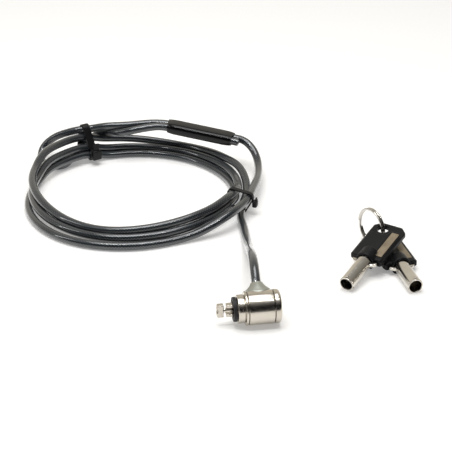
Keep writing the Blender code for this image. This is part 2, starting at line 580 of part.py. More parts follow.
def ring_shape():
    """Flat spring wire in nearly two turns that lie side by side and cross over half way."""
    ring = bmesh.new()
    loops = []
    section = rounded_outline(RING_WIRE_RADIAL, RING_WIRE_AXIAL, 0.3, 1)
    steps = 56
    for step in range(steps + 1):
        turn = math.tau * RING_TURNS * step / steps
        jog = max(0.0, min(1.0, (step / steps - 0.42) / 0.16))
        shift = (jog * jog * (3 - 2 * jog) - 0.5) * (RING_WIRE_AXIAL + RING_WIRE_GAP)
        level, height = math.cos(turn), math.sin(turn)
        loops.append([
            ring.verts.new((shift + axial, (RING_RADIUS + radial) * level, (RING_RADIUS + radial) * height))
            for radial, axial in section
        ])
    for near, far in zip(loops, loops[1:]):
        for corner in range(len(section)):
            after = (corner + 1) % len(section)
            ring.faces.new((near[corner], near[after], far[after], far[corner]))
    ring.faces.new(loops[0])
    ring.faces.new(loops[-1])
    return ring


def build_keys(metal, black, inlay, ring_steel):
    centre = Vector(RING_CENTRE)
    lower = centre - RING_DIRECTION * LOWER_HOLE_OFFSET
    lower.z = KEY_RADIUS
    build_key("lower", make_empty("lower_key_hole", lower, (0.0, 0.0, math.radians(LOWER_KEY_ANGLE))),
              metal, black, inlay)
    upper = centre - RING_DIRECTION * UPPER_HOLE_OFFSET
    tilt = math.radians(UPPER_KEY_TILT)
    upper.z = KEY_RADIUS * math.cos(tilt) + RING_HOLE[0] * math.sin(tilt)
    turn = Matrix.Rotation(math.radians(UPPER_KEY_ANGLE), 3, "Z") @ Matrix.Rotation(-tilt, 3, "Y")
    build_key("upper", make_empty("upper_key_hole", upper, turn.to_euler()), metal, black, inlay)

    place = make_empty("ring_centre", RING_CENTRE)
    across = RING_DIRECTION.cross(Vector((0.0, 0.0, 1.0)))
    place.rotation_euler = across.to_track_quat("X", "Z").to_euler()
    make_object("split_ring", ring_shape(), ring_steel, place)


def main():
    clear_scene()
    nickel = make_material("polished_nickel", (0.62, 0.60, 0.56), 0.16, 1.0)
    satin = make_material("satin_zinc", (0.42, 0.43, 0.42), 0.42, 1.0)
    steel = make_material("plain_steel", (0.50, 0.50, 0.50), 0.30, 1.0)
    brass = make_material("brass", (0.62, 0.45, 0.18), 0.30, 1.0)
    rubber = make_material("black_rubber", (0.012, 0.012, 0.013), 0.70, 0.0)
    black = make_material("black_plastic", (0.010, 0.010, 0.012), 0.35, 0.0)
    sheath = make_material("smoke_sheath", (0.06, 0.065, 0.075), 0.22, 0.0)
    inlay = make_material("silver_strip", (0.34, 0.31, 0.26), 0.45, 0.3)

    axis = make_empty("lock_axis", LOCK_AXIS)
    build_lock_body(axis, nickel, rubber)
    build_tumblers(axis, brass, steel)
    build_plug(axis, brass, steel, nickel)
    build_swivel(axis, nickel, satin, steel)
    build_cable(sheath, steel, black)
    build_tie("tie_left", TIE_LEFT_ANGLE, TIE_LEFT_SECTION, (47.2, 6.5), (4.8, 6.4, 5.6), black)
    build_tie("tie_right", TIE_RIGHT_ANGLE, TIE_RIGHT_SECTION, (70.2, 8.0), (4.2, 5.6, 5.2), black)
    build_keys(nickel, black, inlay, steel)
    bpy.context.view_layer.update()


main()
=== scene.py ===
import math
import bmesh
import bpy
import numpy as np
from mathutils import Matrix, Vector


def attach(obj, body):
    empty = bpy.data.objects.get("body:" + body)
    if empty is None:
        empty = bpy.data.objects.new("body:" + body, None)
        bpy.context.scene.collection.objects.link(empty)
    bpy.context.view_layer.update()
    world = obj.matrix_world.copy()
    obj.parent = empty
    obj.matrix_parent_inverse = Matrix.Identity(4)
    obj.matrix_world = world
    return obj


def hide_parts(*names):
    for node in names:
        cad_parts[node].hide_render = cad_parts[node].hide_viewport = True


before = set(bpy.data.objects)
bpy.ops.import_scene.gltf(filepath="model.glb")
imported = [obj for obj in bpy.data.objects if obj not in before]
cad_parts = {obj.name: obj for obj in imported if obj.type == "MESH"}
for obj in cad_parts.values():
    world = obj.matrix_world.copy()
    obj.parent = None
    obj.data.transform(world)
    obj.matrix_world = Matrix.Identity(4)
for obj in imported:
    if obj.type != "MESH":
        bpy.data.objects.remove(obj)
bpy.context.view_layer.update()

# Shapes are drawn in millimetres and scaled to metres when their mesh is made.
# The cable's route is the one exception: it is in metres from the start.
mm = 0.001
scene = bpy.context.scene
print("cable lock: frame loaded,", len(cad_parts), "nodes")


def hexColour(text):
    channels = [int(text[place:place + 2], 16) / 255 for place in (1, 3, 5)]
    linear = [c / 12.92 if c <= 0.04045 else ((c + 0.055) / 1.055) ** 2.4 for c in channels]
    return (*linear, 1.0)


def addNode(tree, kind, inputs=None, **settings):
    node = tree.nodes.new(kind)
    for name, value in settings.items():
        setattr(node, name, value)
    for socket, value in (inputs or {}).items():
        if isinstance(value, bpy.types.NodeSocket):
            tree.links.new(value, node.inputs[socket])
        else:
            node.inputs[socket].default_value = value
    return node


# ---- camera, floor and light

view = {
    "target": (-33.1, 62.95, 0.0),
    "elevation": 28.0,
    "azimuth": 9.0,
    "distance": 650.0,
    "lens": 97.69,
}
camera = bpy.data.objects.new("camera", bpy.data.cameras.new("camera"))
scene.collection.objects.link(camera)
down, aside = math.radians(view["elevation"]), math.radians(view["azimuth"])
looking = Vector((math.cos(down) * math.sin(aside), math.cos(down) * math.cos(aside), -math.sin(down)))
camera.location = (Vector(view["target"]) - looking * view["distance"]) * mm
camera.rotation_mode = "QUATERNION"
camera.rotation_quaternion = looking.to_track_quat("-Z", "Y")
camera.data.lens = view["lens"]
camera.data.sensor_width = 36.0
camera.data.clip_start, camera.data.clip_end = 0.01, 50.0
scene.camera = camera
scene.view_settings.view_transform = "Standard"

studio = {
    "floorColour": "#f0efed",
    "floorGlow": 0.26,           # lifts the paper to white without more light on the lock
    "aim": (-0.05, 0.07, 0.0),
    "boxWatts": 3.6, "boxSize": (0.62, 0.42), "boxPlace": (-0.06, 0.16, 0.92),
    "stripWatts": 3.0, "stripSize": (0.80, 0.022), "stripPlace": (-0.10, -0.16, 0.84),
    "sideWatts": 0.9, "sideSize": (0.05, 0.60), "sidePlace": (-0.80, 0.05, 0.50),
    "skyAbove": "#8d8c8b", "skyBehind": "#dcd6ca", "skyFront": "#1c1c1f",
    "skyTurns": (-0.35, 0.75),       # from the front tone to the one behind, along the direction's Y
    "skyRises": (0.60, 0.97),        # and from there to the one above, along its Z
}


def areaLight(name, watts, size, place):
    lamp = bpy.data.lights.new(name, "AREA")
    lamp.shape, lamp.size, lamp.size_y, lamp.energy = "RECTANGLE", size[0], size[1], watts
    holder = bpy.data.objects.new(name, lamp)
    holder.location = place
    holder.rotation_mode = "QUATERNION"
    holder.rotation_quaternion = (Vector(studio["aim"]) - Vector(place)).to_track_quat("-Z", "Y")
    scene.collection.objects.link(holder)


areaLight("softbox", studio["boxWatts"], studio["boxSize"], studio["boxPlace"])
areaLight("stripLight", studio["stripWatts"], studio["stripSize"], studio["stripPlace"])
areaLight("sideStrip", studio["sideWatts"], studio["sideSize"], studio["sidePlace"])

# The room is dim in front, where the cable and metal get their dark bands, and paler behind.
room = bpy.data.worlds.new("studioRoom")
scene.world = room
room.use_nodes = True
roomTree = room.node_tree
direction = addNode(roomTree, "ShaderNodeTexCoord").outputs["Generated"]
parts = addNode(roomTree, "ShaderNodeSeparateXYZ", {0: direction})
depth = addNode(roomTree, "ShaderNodeMapRange", {
    0: parts.outputs["Y"], 1: studio["skyTurns"][0], 2: studio["skyTurns"][1]}).outputs[0]
height = addNode(roomTree, "ShaderNodeMapRange", {
    0: parts.outputs["Z"], 1: studio["skyRises"][0], 2: studio["skyRises"][1]}).outputs[0]
sides = addNode(roomTree, "ShaderNodeMix", {
    "Factor": depth, 6: hexColour(studio["skyFront"]), 7: hexColour(studio["skyBehind"])}, data_type="RGBA")
whole = addNode(roomTree, "ShaderNodeMix", {
    "Factor": height, 6: sides.outputs[2], 7: hexColour(studio["skyAbove"])}, data_type="RGBA")
roomTree.links.new(whole.outputs[2], roomTree.nodes["Background"].inputs["Color"])
roomTree.nodes["Background"].inputs["Strength"].default_value = 1.0


# ---- materials; every pattern's size is worked out from millimetres

def perMetre(millimetres):
    return 1000.0 / millimetres


def startMaterial(name):
    material = bpy.data.materials.new(name)
    material.use_nodes = True
    tree = material.node_tree
    return material, tree, tree.nodes["Principled BSDF"]


def finishMaterial(tree, shader, tone, gloss, bump, **values):
    tree.links.new(tone.outputs[2], shader.inputs["Base Color"])
    tree.links.new(gloss.outputs[0], shader.inputs["Roughness"])
    tree.links.new(bump.outputs[0], shader.inputs["Normal"])
    for name, value in values.items():
        shader.inputs[name.replace("_", " ")].default_value = value


def handledMetal(name, dark, light, smooth, worn, grainMm, stretch=(1.0, 1.0, 1.0), bumpMm=0.004):
    # Bare metal: tone drifts over a few millimetres, roughness follows the grain and the handling marks.
    material, tree, shader = startMaterial(name)
    place = addNode(tree, "ShaderNodeTexCoord").outputs["Object"]
    drift = addNode(tree, "ShaderNodeTexNoise", {"Vector": place, "Scale": perMetre(9), "Detail": 3.0})
    tone = addNode(tree, "ShaderNodeMix", {
        "Factor": drift.outputs[0], 6: hexColour(dark), 7: hexColour(light)}, data_type="RGBA")
    turned = addNode(tree, "ShaderNodeMapping", {"Vector": place, "Scale": stretch})
    grain = addNode(tree, "ShaderNodeTexNoise", {
        "Vector": turned.outputs[0], "Scale": perMetre(grainMm), "Detail": 4.0, "Roughness": 0.6})
    scuffs = addNode(tree, "ShaderNodeTexNoise", {
        "Vector": place, "Scale": perMetre(3.1), "Detail": 6.0, "Distortion": 1.4})
    both = addNode(tree, "ShaderNodeMath", {0: grain.outputs[0], 1: scuffs.outputs[0]}, operation="MULTIPLY")
    gloss = addNode(tree, "ShaderNodeMapRange", {0: both.outputs[0], 1: 0.1, 2: 0.5, 3: smooth, 4: worn})
    bump = addNode(tree, "ShaderNodeBump", {
        "Height": grain.outputs[0], "Strength": 0.35, "Distance": bumpMm * mm})
    finishMaterial(tree, shader, tone, gloss, bump, Metallic=1.0)
    return material


def mouldedBlack(name, dark, light, smooth, dull, grainMm, bumpMm, shine=0.5):
    # Black moulding: fine spark-eroded grain from the tool, paler where fingers have rubbed it.
    material, tree, shader = startMaterial(name)
    place = addNode(tree, "ShaderNodeTexCoord").outputs["Object"]
    rubbed = addNode(tree, "ShaderNodeTexNoise", {"Vector": place, "Scale": perMetre(6), "Detail": 3.0})
    tone = addNode(tree, "ShaderNodeMix", {
        "Factor": rubbed.outputs[0], 6: hexColour(dark), 7: hexColour(light)}, data_type="RGBA")
    grain = addNode(tree, "ShaderNodeTexNoise", {"Vector": place, "Scale": perMetre(grainMm), "Detail": 3.0})
    gloss = addNode(tree, "ShaderNodeMapRange", {0: rubbed.outputs[0], 1: 0.3, 2: 0.7, 3: dull, 4: smooth})
    bump = addNode(tree, "ShaderNodeBump", {
        "Height": grain.outputs[0], "Strength": 0.5, "Distance": bumpMm * mm})
    finishMaterial(tree, shader, tone, gloss, bump, IOR=1.5, Specular_IOR_Level=shine)
    return material


# Nickel plate, turned then polished: warm grey mirror with faint lines round the axis.
turnedNickel = handledMetal("turnedNickel", "#bfb8ad", "#dad4c9", 0.17, 0.30, 0.30, (1.0, 0.08, 0.08))
# Nickel plate on rolled strip, as the key tubes are: softer mirror, fine handling marks.
rolledNickel = handledMetal("rolledNickel", "#c4bfb6", "#e0dcd4", 0.12, 0.28, 0.45)
# Die-cast zinc with a satin finish: even grey green, wide soft highlight.
satinZinc = handledMetal("satinZinc", "#a4a7a0", "#bcbfb7", 0.34, 0.46, 0.35, bumpMm=0.010)
# Spring steel, drawn and tumbled: darker, with a thin oily film.
springSteel = handledMetal("springSteel", "#85868a", "#a6a7a8", 0.20, 0.36, 0.40)
# Split ring: the same wire under bright nickel plate, worn by the keys.
platedWire = handledMetal("platedWire", "#b9b6b0", "#dcd9d3", 0.10, 0.26, 0.5)
# Free-cutting brass as turned: yellow, small tool lines.
turnedBrass = handledMetal("turnedBrass", "#a5874c", "#c7a86a", 0.22, 0.38, 0.25)
# Nitrile rubber, moulded: dull black.
nitrileRubber = mouldedBlack("nitrileRubber", "#131315", "#1d1d1f", 0.52, 0.68, 0.5, 0.03)
# ABS key bow: satin black with a fine eroded grain.
keyPlastic = mouldedBlack("keyPlastic", "#08090a", "#101114", 0.40, 0.52, 0.35, 0.018, shine=0.22)
# Soft PVC moulded over the crimp: glossy black.
sleevePlastic = mouldedBlack("sleevePlastic", "#050506", "#0b0b0d", 0.12, 0.22, 1.2, 0.015, shine=0.3)
# Nylon 6.6 tie: black, slightly waxy.
nylonBlack = mouldedBlack("nylonBlack", "#060607", "#0e0e10", 0.34, 0.46, 0.6, 0.015, shine=0.3)


def anodisedStrip():
    # Satin anodised aluminium strip, beige silver: brushed along, soft sheen, no printing.
    material, tree, shader = startMaterial("anodisedStrip")
    place = addNode(tree, "ShaderNodeUVMap", uv_map="alongPiece").outputs[0]
    lines = addNode(tree, "ShaderNodeMapping", {
        "Vector": place, "Scale": (perMetre(4.0), perMetre(0.25), 1.0)})
    brushed = addNode(tree, "ShaderNodeTexNoise", {"Vector": lines.outputs[0], "Scale": 1.0, "Detail": 3.0})
    cloud = addNode(tree, "ShaderNodeTexNoise", {"Vector": place, "Scale": perMetre(7.0), "Detail": 2.0})
    mixed = addNode(tree, "ShaderNodeMath", {
        0: brushed.outputs[0], 1: cloud.outputs[0]}, operation="MULTIPLY")
    spread = addNode(tree, "ShaderNodeMapRange", {0: mixed.outputs[0], 1: 0.12, 2: 0.42})
    tone = addNode(tree, "ShaderNodeMix", {
        "Factor": spread.outputs[0], 6: hexColour("#7f725f"), 7: hexColour("#a3957e")}, data_type="RGBA")
    bump = addNode(tree, "ShaderNodeBump", {
        "Height": brushed.outputs[0], "Strength": 0.3, "Distance": 0.006 * mm})
    gloss = addNode(tree, "ShaderNodeMapRange", {0: brushed.outputs[0], 3: 0.36, 4: 0.50})
    finishMaterial(tree, shader, tone, gloss, bump, Metallic=0.45)
    return material


def smokeSheath():
    # Clear smoke-grey PVC over a laid steel rope: wet-looking skin, strands showing under it in diamonds,
    # with a painted highlight (a pale glint colour) on each diamond's crown.
    # Real strands are about 0.5 mm wide; the diamonds are drawn every 1.5 mm so that they show.
    look = {"starts": 8.0, "pitchMm": 1.5, "dark": "#1d2124", "light": "#4d545a", "paintedGlint": "#878e95"}
    material, tree, shader = startMaterial("smokeSheath")
    place = addNode(tree, "ShaderNodeUVMap", uv_map="alongPiece").outputs[0]
    uv = addNode(tree, "ShaderNodeSeparateXYZ", {0: place})
    around = addNode(tree, "ShaderNodeMath", {0: uv.outputs[0], 1: look["starts"]}, operation="MULTIPLY")
    along = addNode(tree, "ShaderNodeMath", {
        0: uv.outputs[1], 1: perMetre(look["pitchMm"])}, operation="MULTIPLY")
    waves = []
    for operation in ("ADD", "SUBTRACT"):
        phase = addNode(tree, "ShaderNodeMath", {
            0: along.outputs[0], 1: around.outputs[0]}, operation=operation)
        turn = addNode(tree, "ShaderNodeMath", {0: phase.outputs[0], 1: math.tau}, operation="MULTIPLY")
        wave = addNode(tree, "ShaderNodeMath", {0: turn.outputs[0]}, operation="SINE")
        waves.append(addNode(tree, "ShaderNodeMapRange", {0: wave.outputs[0], 1: -1.0, 2: 1.0}).outputs[0])
    strands = addNode(tree, "ShaderNodeMath", {0: waves[0], 1: waves[1]}, operation="MULTIPLY").outputs[0]
    placed = addNode(tree, "ShaderNodeTexCoord").outputs["Object"]
    cloud = addNode(tree, "ShaderNodeTexNoise", {"Vector": placed, "Scale": perMetre(14), "Detail": 2.0})
    tone = addNode(tree, "ShaderNodeMix", {
        "Factor": strands, 6: hexColour(look["dark"]), 7: hexColour(look["light"])}, data_type="RGBA")
    # painted highlight: the palest crowns of the strand pattern are mixed towards the pale glint colour
    paintedGlint = addNode(tree, "ShaderNodeMapRange", {0: strands, 1: 0.78, 2: 1.0, 4: 0.5})
    lit = addNode(tree, "ShaderNodeMix", {
        "Factor": paintedGlint.outputs[0], 6: tone.outputs[2], 7: hexColour(look["paintedGlint"])}, data_type="RGBA")
    gloss = addNode(tree, "ShaderNodeMapRange", {0: cloud.outputs[0], 1: 0.3, 2: 0.7, 3: 0.26, 4: 0.40})
    bump = addNode(tree, "ShaderNodeBump", {"Height": strands, "Strength": 0.5, "Distance": 0.05 * mm})
    skin = addNode(tree, "ShaderNodeBump", {"Height": strands, "Strength": 0.2, "Distance": 0.012 * mm})
    tree.links.new(skin.outputs[0], shader.inputs["Coat Normal"])
    finishMaterial(tree, shader, lit, gloss, bump, Metallic=0.3, IOR=1.5, Coat_Weight=1.0,
                   Coat_Roughness=0.08, Coat_IOR=1.6)
    return material


stripFoil, sheath = anodisedStrip(), smokeSheath()

# Seamless white paper: matt, with a little glow so that it stays white under soft light.
paper, paperTree, paperShader = startMaterial("studioPaper")
for name, value in (("Base Color", hexColour(studio["floorColour"])), ("Roughness", 0.9),
                    ("Specular IOR Level", 0.1), ("Emission Color", hexColour("#ffffff")),
                    ("Emission Strength", studio["floorGlow"])):
    paperShader.inputs[name].default_value = value

floorHalf = 9.0
floorMesh = bpy.data.meshes.new("floor")
floorMesh.from_pydata([(x * floorHalf, y * floorHalf, 0) for x, y in ((-1, -1), (1, -1), (1, 1), (-1, 1))],
                      [], [(0, 1, 2, 3)])
floorMesh.materials.append(paper)
floor = bpy.data.objects.new("floor", floorMesh)
scene.collection.objects.link(floor)
print("cable lock: camera, light and materials ready")


# ---- mesh helpers

def makePiece(name, shape, material, place=Matrix.Identity(4), scale=mm, sharp=35.0):
    shape.transform(Matrix.Scale(scale, 4) @ place)
    bmesh.ops.recalc_face_normals(shape, faces=shape.faces)
    mesh = bpy.data.meshes.new(name)
    shape.to_mesh(mesh)
    shape.free()
    mesh.shade_smooth()
    mesh.set_sharp_from_angle(angle=math.radians(sharp))
    mesh.materials.append(material)
    piece = bpy.data.objects.new(name, mesh)
    scene.collection.objects.link(piece)
    return piece


def settled(piece, sharp=None):
    bpy.context.view_layer.update()
    depsgraph = bpy.context.evaluated_depsgraph_get()
    mesh = bpy.data.meshes.new_from_object(piece.evaluated_get(depsgraph))
    mesh.name = piece.name
    piece.modifiers.clear()
    piece.data = mesh
    if sharp is not None:
        mesh.shade_smooth()
        mesh.set_sharp_from_angle(angle=math.radians(sharp))
    return piece


def carve(piece, shape, place=Matrix.Identity(4), operation="DIFFERENCE", sharp=None):
    cutter = makePiece("cutter", shape, piece.data.materials[0], place)
    boolean = piece.modifiers.new("carve", "BOOLEAN")
    boolean.operation, boolean.object, boolean.solver = operation, cutter, "EXACT"
    settled(piece, sharp)
    bpy.data.objects.remove(cutter)


def keep(piece, body, slotName, *nodes):
    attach(piece, body)
    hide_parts(*nodes)
    return piece


def filleted(corners, steps=4):
    # Each corner is (a, b) or (a, b, radius); a radius turns the corner into an arc.
    outline = []
    for before, here, after in zip(corners[-1:] + corners[:-1], corners, corners[1:] + corners[:1]):
        corner = Vector(here[:2])
        radius = here[2] if len(here) > 2 else 0.0
        toBefore, toAfter = Vector(before[:2]) - corner, Vector(after[:2]) - corner
        half = toBefore.angle(toAfter) / 2
        if radius <= 0 or half > math.pi / 2 - 0.02:
            outline.append(corner)
            continue
        reach = min(radius / math.tan(half), 0.49 * toBefore.length, 0.49 * toAfter.length)
        radius = reach * math.tan(half)
        middle = (toBefore.normalized() + toAfter.normalized()).normalized()
        centre = corner + middle * radius / math.sin(half)
        first = corner + toBefore.normalized() * reach - centre
        last = corner + toAfter.normalized() * reach - centre
        sweep = first.angle_signed(last)
        for step in range(steps + 1):
            outline.append(centre + Matrix.Rotation(-sweep * step / steps, 2) @ first)
    return outline


def skinRings(shape, rings, closed=True, endCaps=False):
    count = len(rings[0])
    pairs = list(zip(rings, rings[1:]))
    if closed:
        pairs.append((rings[-1], rings[0]))
    for near, far in pairs:
        for step in range(count):
            after = (step + 1) % count
            corners = list(dict.fromkeys([near[step], near[after], far[after], far[step]]))
            if len(corners) > 2:
                shape.faces.new(corners)
    if endCaps:
        shape.faces.new(rings[0])
        shape.faces.new(rings[-1])


def turnedShape(corners, steps=96, bend=None):
    # Spins an outline of (x, radius, corner radius) round X; bend may shift a point by its turn.
    shape = bmesh.new()
    rings = []
    outline = filleted(list(corners))
    for x, radius in outline:
        if radius < 1e-6:
            rings.append([shape.verts.new((x, 0.0, 0.0))] * steps)
            continue
        ring = []
        for step in range(steps):
            turn = math.tau * step / steps
            px, pr = bend(x, radius, turn) if bend else (x, radius)
            ring.append(shape.verts.new((px, pr * math.sin(turn), pr * math.cos(turn))))
        rings.append(ring)
    skinRings(shape, rings)
    return shape


def insetOutline(outline, distance):
    inner = []
    area = sum(a.x * b.y - b.x * a.y for a, b in zip(outline, outline[1:] + outline[:1]))
    turnSide = 1 if area > 0 else -1
    for before, here, after in zip(outline[-1:] + outline[:-1], outline, outline[1:] + outline[:1]):
        sideIn, sideOut = (here - before).normalized(), (after - here).normalized()
        normal = Vector((-sideIn.y - sideOut.y, sideIn.x + sideOut.x)).normalized() * turnSide
        lean = max(0.5, normal.dot(Vector((-sideIn.y, sideIn.x)) * turnSide))
        inner.append(here + normal * distance / lean)
    return inner


def slabShape(corners, low, high, edge=0.3, arcSteps=3):
    # A plate along Z with its two rims rounded over.
    outline = filleted(list(corners))
    shape = bmesh.new()
    rim = []
    for step in range(arcSteps + 1):
        turn = math.pi / 2 * step / arcSteps
        rim.append((low + edge * (1 - math.sin(turn)), edge * (1 - math.cos(turn))))
    levels = sorted(rim + [(low + high - z, inset) for z, inset in rim], key=lambda level: level[0])
    loops = []
    for z, inset in levels:
        loops.append([shape.verts.new((*point, z)) for point in insetOutline(outline, inset)])
    skinRings(shape, loops, closed=False, endCaps=True)
    return shape


def joinShapes(shapes):
    together = bmesh.new()
    for shape in shapes:
        mesh = bpy.data.meshes.new("part")
        shape.to_mesh(mesh)
        shape.free()
        together.from_mesh(mesh)
        bpy.data.meshes.remove(mesh)
    return together


def moved(shape, matrix):
    shape.transform(matrix)
    return shape


def boxCorners(width, height, radius):
    w, h = width / 2, height / 2
    return [(w, -h, radius), (w, h, radius), (-w, h, radius), (-w, -h, radius)]


def nodesPiece(name, tree, values):
    # Runs a geometry node tree on an empty mesh and keeps the plain result.
    piece = bpy.data.objects.new(name, bpy.data.meshes.new(name))
    scene.collection.objects.link(piece)
    modifier = piece.modifiers.new("build", "NODES")
    modifier.node_group = tree
    for item in tree.interface.items_tree:
        if item.item_type == "SOCKET" and item.in_out == "INPUT" and item.name in values:
            modifier[item.identifier] = values[item.name]
    return settled(piece, 40.0)


def startTree(name, inputs):
    tree = bpy.data.node_groups.new(name, "GeometryNodeTree")
    for label, kind in inputs:
        tree.interface.new_socket(label, in_out="INPUT", socket_type=kind)
    tree.interface.new_socket("Geometry", in_out="OUTPUT", socket_type="NodeSocketGeometry")
    return tree, addNode(tree, "NodeGroupInput").outputs


def endTree(tree, geometry, material):
    solid = addNode(tree, "GeometryNodeRealizeInstances", {0: geometry})
    painted = addNode(tree, "GeometryNodeSetMaterial", {"Geometry": solid.outputs[0], "Material": material})
    addNode(tree, "NodeGroupOutput", {0: painted.outputs[0]})
    return tree


# ---- the cable: one length from the neck, three turns, through the crimp, round the end loop and back

cable = {
    "radius": 0.0022, "coreRadius": 0.0014, "sides": 24, "spacing": 0.0009,
    "coilCentre": (-0.077, 0.105), "coilRadius": 0.0565,
    "lean": 0.00403, "leanTo": 60.0,      # each turn sits this far from the one below, towards this side
    "touch": 0.00444, "lowest": 0.00230,  # from one turn's middle to the next, and the lowest one's height
    "bow": (0.0016, 0.0012),              # how far the top turn bows out and up at the back
    "wedge": 0.0019,                          # the lowest turn stands off a little at the front left
    # Lifted over the end loop, and over the right tie: angle, half width, ease, height.
    "lifts": ((131.5, 12.5, 20.0, 0.0031), (-27.0, 4.0, 16.0, 0.0013)),
    "entry": ((-25.0, 0.0612, 0.0035), (-15.0, 0.0612, 0.0042), (-5.0, 0.0614, 0.0056),
              (5.0, 0.0613, 0.0076), (14.0, 0.0607, 0.0087)),          # angle, radius, height
    "exit": ((-72.0, 0.0004, 0.0002), (-63.0, 0.0024, 0.0017), (-54.0, 0.0050, 0.0046)),   # angle, out, up
    "settles": (315.0, 675.0), "settleOver": 42.0,      # where a turn starts to settle one level lower
    "splineSteps": 16,
}
# The tail, the strand to the crimp, the end loop and the cut end, as points on the cable's middle line.
tailRoute = [
    (-0.0325, -0.02623, 0.01259), (-0.0325, -0.02198, 0.01557), (-0.0320, -0.0145, 0.0189),
    (-0.0310, -0.0045, 0.0186), (-0.0298, 0.0070, 0.0147), (-0.0283, 0.0190, 0.0096),
    (-0.0268, 0.0320, 0.0052), (-0.0256, 0.0450, 0.0028), (-0.0248, 0.0570, 0.0023),
    (-0.0244, 0.0666, 0.00225),
]
strandRoute = [
    (-0.0296, 0.0606, 0.0095), (-0.0245, 0.0669, 0.0095), (-0.0192, 0.0754, 0.0095),
    (-0.0144, 0.087, 0.0091), (-0.01, 0.0995, 0.0083), (-0.007, 0.111, 0.0079), (-0.0058, 0.1195, 0.009),
    (-0.0062, 0.126, 0.0116), (-0.0082, 0.1308, 0.0144), (-0.0108, 0.134, 0.0161),
    (-0.0136, 0.1364, 0.01675), (-0.01654, 0.138, 0.017), (-0.02027, 0.13989, 0.01735),
]
loopRoute = [
    (-0.04811, 0.15401, 0.01995), (-0.05184, 0.1559, 0.0203), (-0.057, 0.1578, 0.0205),
    (-0.0645, 0.1587, 0.0205), (-0.0725, 0.1588, 0.0202), (-0.081, 0.1594, 0.0199),
    (-0.0895, 0.1607, 0.0194), (-0.0972, 0.1625, 0.0179), (-0.1058, 0.1634, 0.0169),
    (-0.1123, 0.1643, 0.0152), (-0.1177, 0.1653, 0.013), (-0.1223, 0.1662, 0.0098),
    (-0.1258, 0.1652, 0.0064), (-0.1275, 0.1618, 0.0036), (-0.1274, 0.1566, 0.0024),
    (-0.125, 0.1509, 0.0023), (-0.1204, 0.1472, 0.0023), (-0.1152, 0.1479, 0.0023),
    (-0.112, 0.1524, 0.0023), (-0.1104, 0.1578, 0.00235), (-0.1078, 0.1626, 0.0029),
    (-0.1036, 0.1662, 0.0049), (-0.0984, 0.1682, 0.0084), (-0.093, 0.1673, 0.0124),
    (-0.0876, 0.1628, 0.0154), (-0.0812, 0.1562, 0.017), (-0.0728, 0.1536, 0.019),
    (-0.0648, 0.1539, 0.0199), (-0.0586, 0.1535, 0.0203), (-0.05396, 0.1517, 0.0203),
    (-0.05023, 0.14981, 0.01995),
]
cutRoute = [
    (-0.02239, 0.13569, 0.01735), (-0.01866, 0.1338, 0.017), (-0.0151, 0.132, 0.01667),
]
crimp = {
    "left": (-52.9, 153.8, 20.3), "right": (-17.6, 135.9, 17.0),
    "width": 10.8, "height": 6.5, "round": 2.8, "slotWidth": 9.7, "slotHeight": 4.95, "ropeHalf": 15.2,
    "near": 3.2,
    "endRound": 1.3, "endSlant": 1.1, "endWaist": 0.35, "deepest": 0.42,    # how the sleeve's ends are shaped
}


def eased(value):
    value = min(1.0, max(0.0, value))
    return value * value * (3 - 2 * value)


def roundCoil(angle, radius, z):
    turn = math.radians(angle)
    centreX, centreY = cable["coilCentre"]
    return (centreX + radius * math.cos(turn), centreY + radius * math.sin(turn), z)


def coilPoint(angle, level, out=0.0, up=0.0):
    # A place on the stack of turns: level 0 lies on the floor, 2 is the top, each rests on the one below.
    shift = cable["lean"] * math.cos(math.radians(angle) - math.radians(cable["leanTo"]))
    radius = cable["coilRadius"] + (level - 1) * shift + out
    rise = math.sqrt(cable["touch"] ** 2 - shift ** 2)
    z = cable["lowest"] + level * rise + up
    for middle, half, ease, lift in cable["lifts"]:
        past = abs((angle - middle + 180) % 360 - 180) - half
        z += lift * eased(1 - past / ease)
    return roundCoil(angle, radius, z)


def coilRoute():
    # The tail climbs outside the stack to the top. Each time round, a turn settles one level lower on the
    # right, and the lowest one leaves at the front for the crimp.
    points = [roundCoil(*place) for place in cable["entry"]]
    for angle in range(24, 1000, 8):
        sunk = sum(eased((angle - start) / cable["settleOver"]) for start in cable["settles"])
        out = cable["wedge"] * eased((angle - 890) / 60) * (1 - eased((angle - 945) / 60))
        loose = eased((angle - 50) / 60) * (1 - eased((angle - 165) / 50))
        points.append(coilPoint(angle, 2.0 - sunk, out + cable["bow"][0] * loose, cable["bow"][1] * loose))
    return points + [coilPoint(angle, 0, out, up) for angle, out, up in cable["exit"]]


def splineThrough(points, spacing):
    # Natural cubic spline, read at even steps.
    points = np.array(points, float)
    gaps = np.linalg.norm(np.diff(points, axis=0), axis=1)
    count = len(points)
    system, right = np.zeros((count, count)), np.zeros((count, 3))
    system[0, 0] = system[-1, -1] = 1.0
    for index in range(1, count - 1):
        before, after = gaps[index - 1], gaps[index]
        system[index, index - 1:index + 2] = before, 2 * (before + after), after
        right[index] = 6 * ((points[index + 1] - points[index]) / after
                            - (points[index] - points[index - 1]) / before)
    bending = np.linalg.solve(system, right)
    fine = []
    for index in range(count - 1):
        gap = gaps[index]
        for share in np.linspace(0, 1, cable["splineSteps"], endpoint=False):
            rest = 1 - share
            fine.append(rest * points[index] + share * points[index + 1] + gap * gap / 6 * (
                (rest ** 3 - rest) * bending[index] + (share ** 3 - share) * bending[index + 1]))
    fine = np.array(fine + [points[-1]])
    run = np.concatenate([[0], np.cumsum(np.linalg.norm(np.diff(fine, axis=0), axis=1))])
    steps = np.linspace(0, run[-1], int(round(run[-1] / spacing)) + 1)
    return np.stack([np.interp(steps, run, fine[:, axis]) for axis in range(3)], axis=1), run[-1]


cablePath, cableLength = splineThrough(
    tailRoute + coilRoute() + strandRoute + loopRoute + cutRoute, cable["spacing"])
crimpLeft, crimpRight = Vector(crimp["left"]), Vector(crimp["right"])
crimpMiddle, crimpAlong = (crimpLeft + crimpRight) / 2, (crimpRight - crimpLeft).normalized()


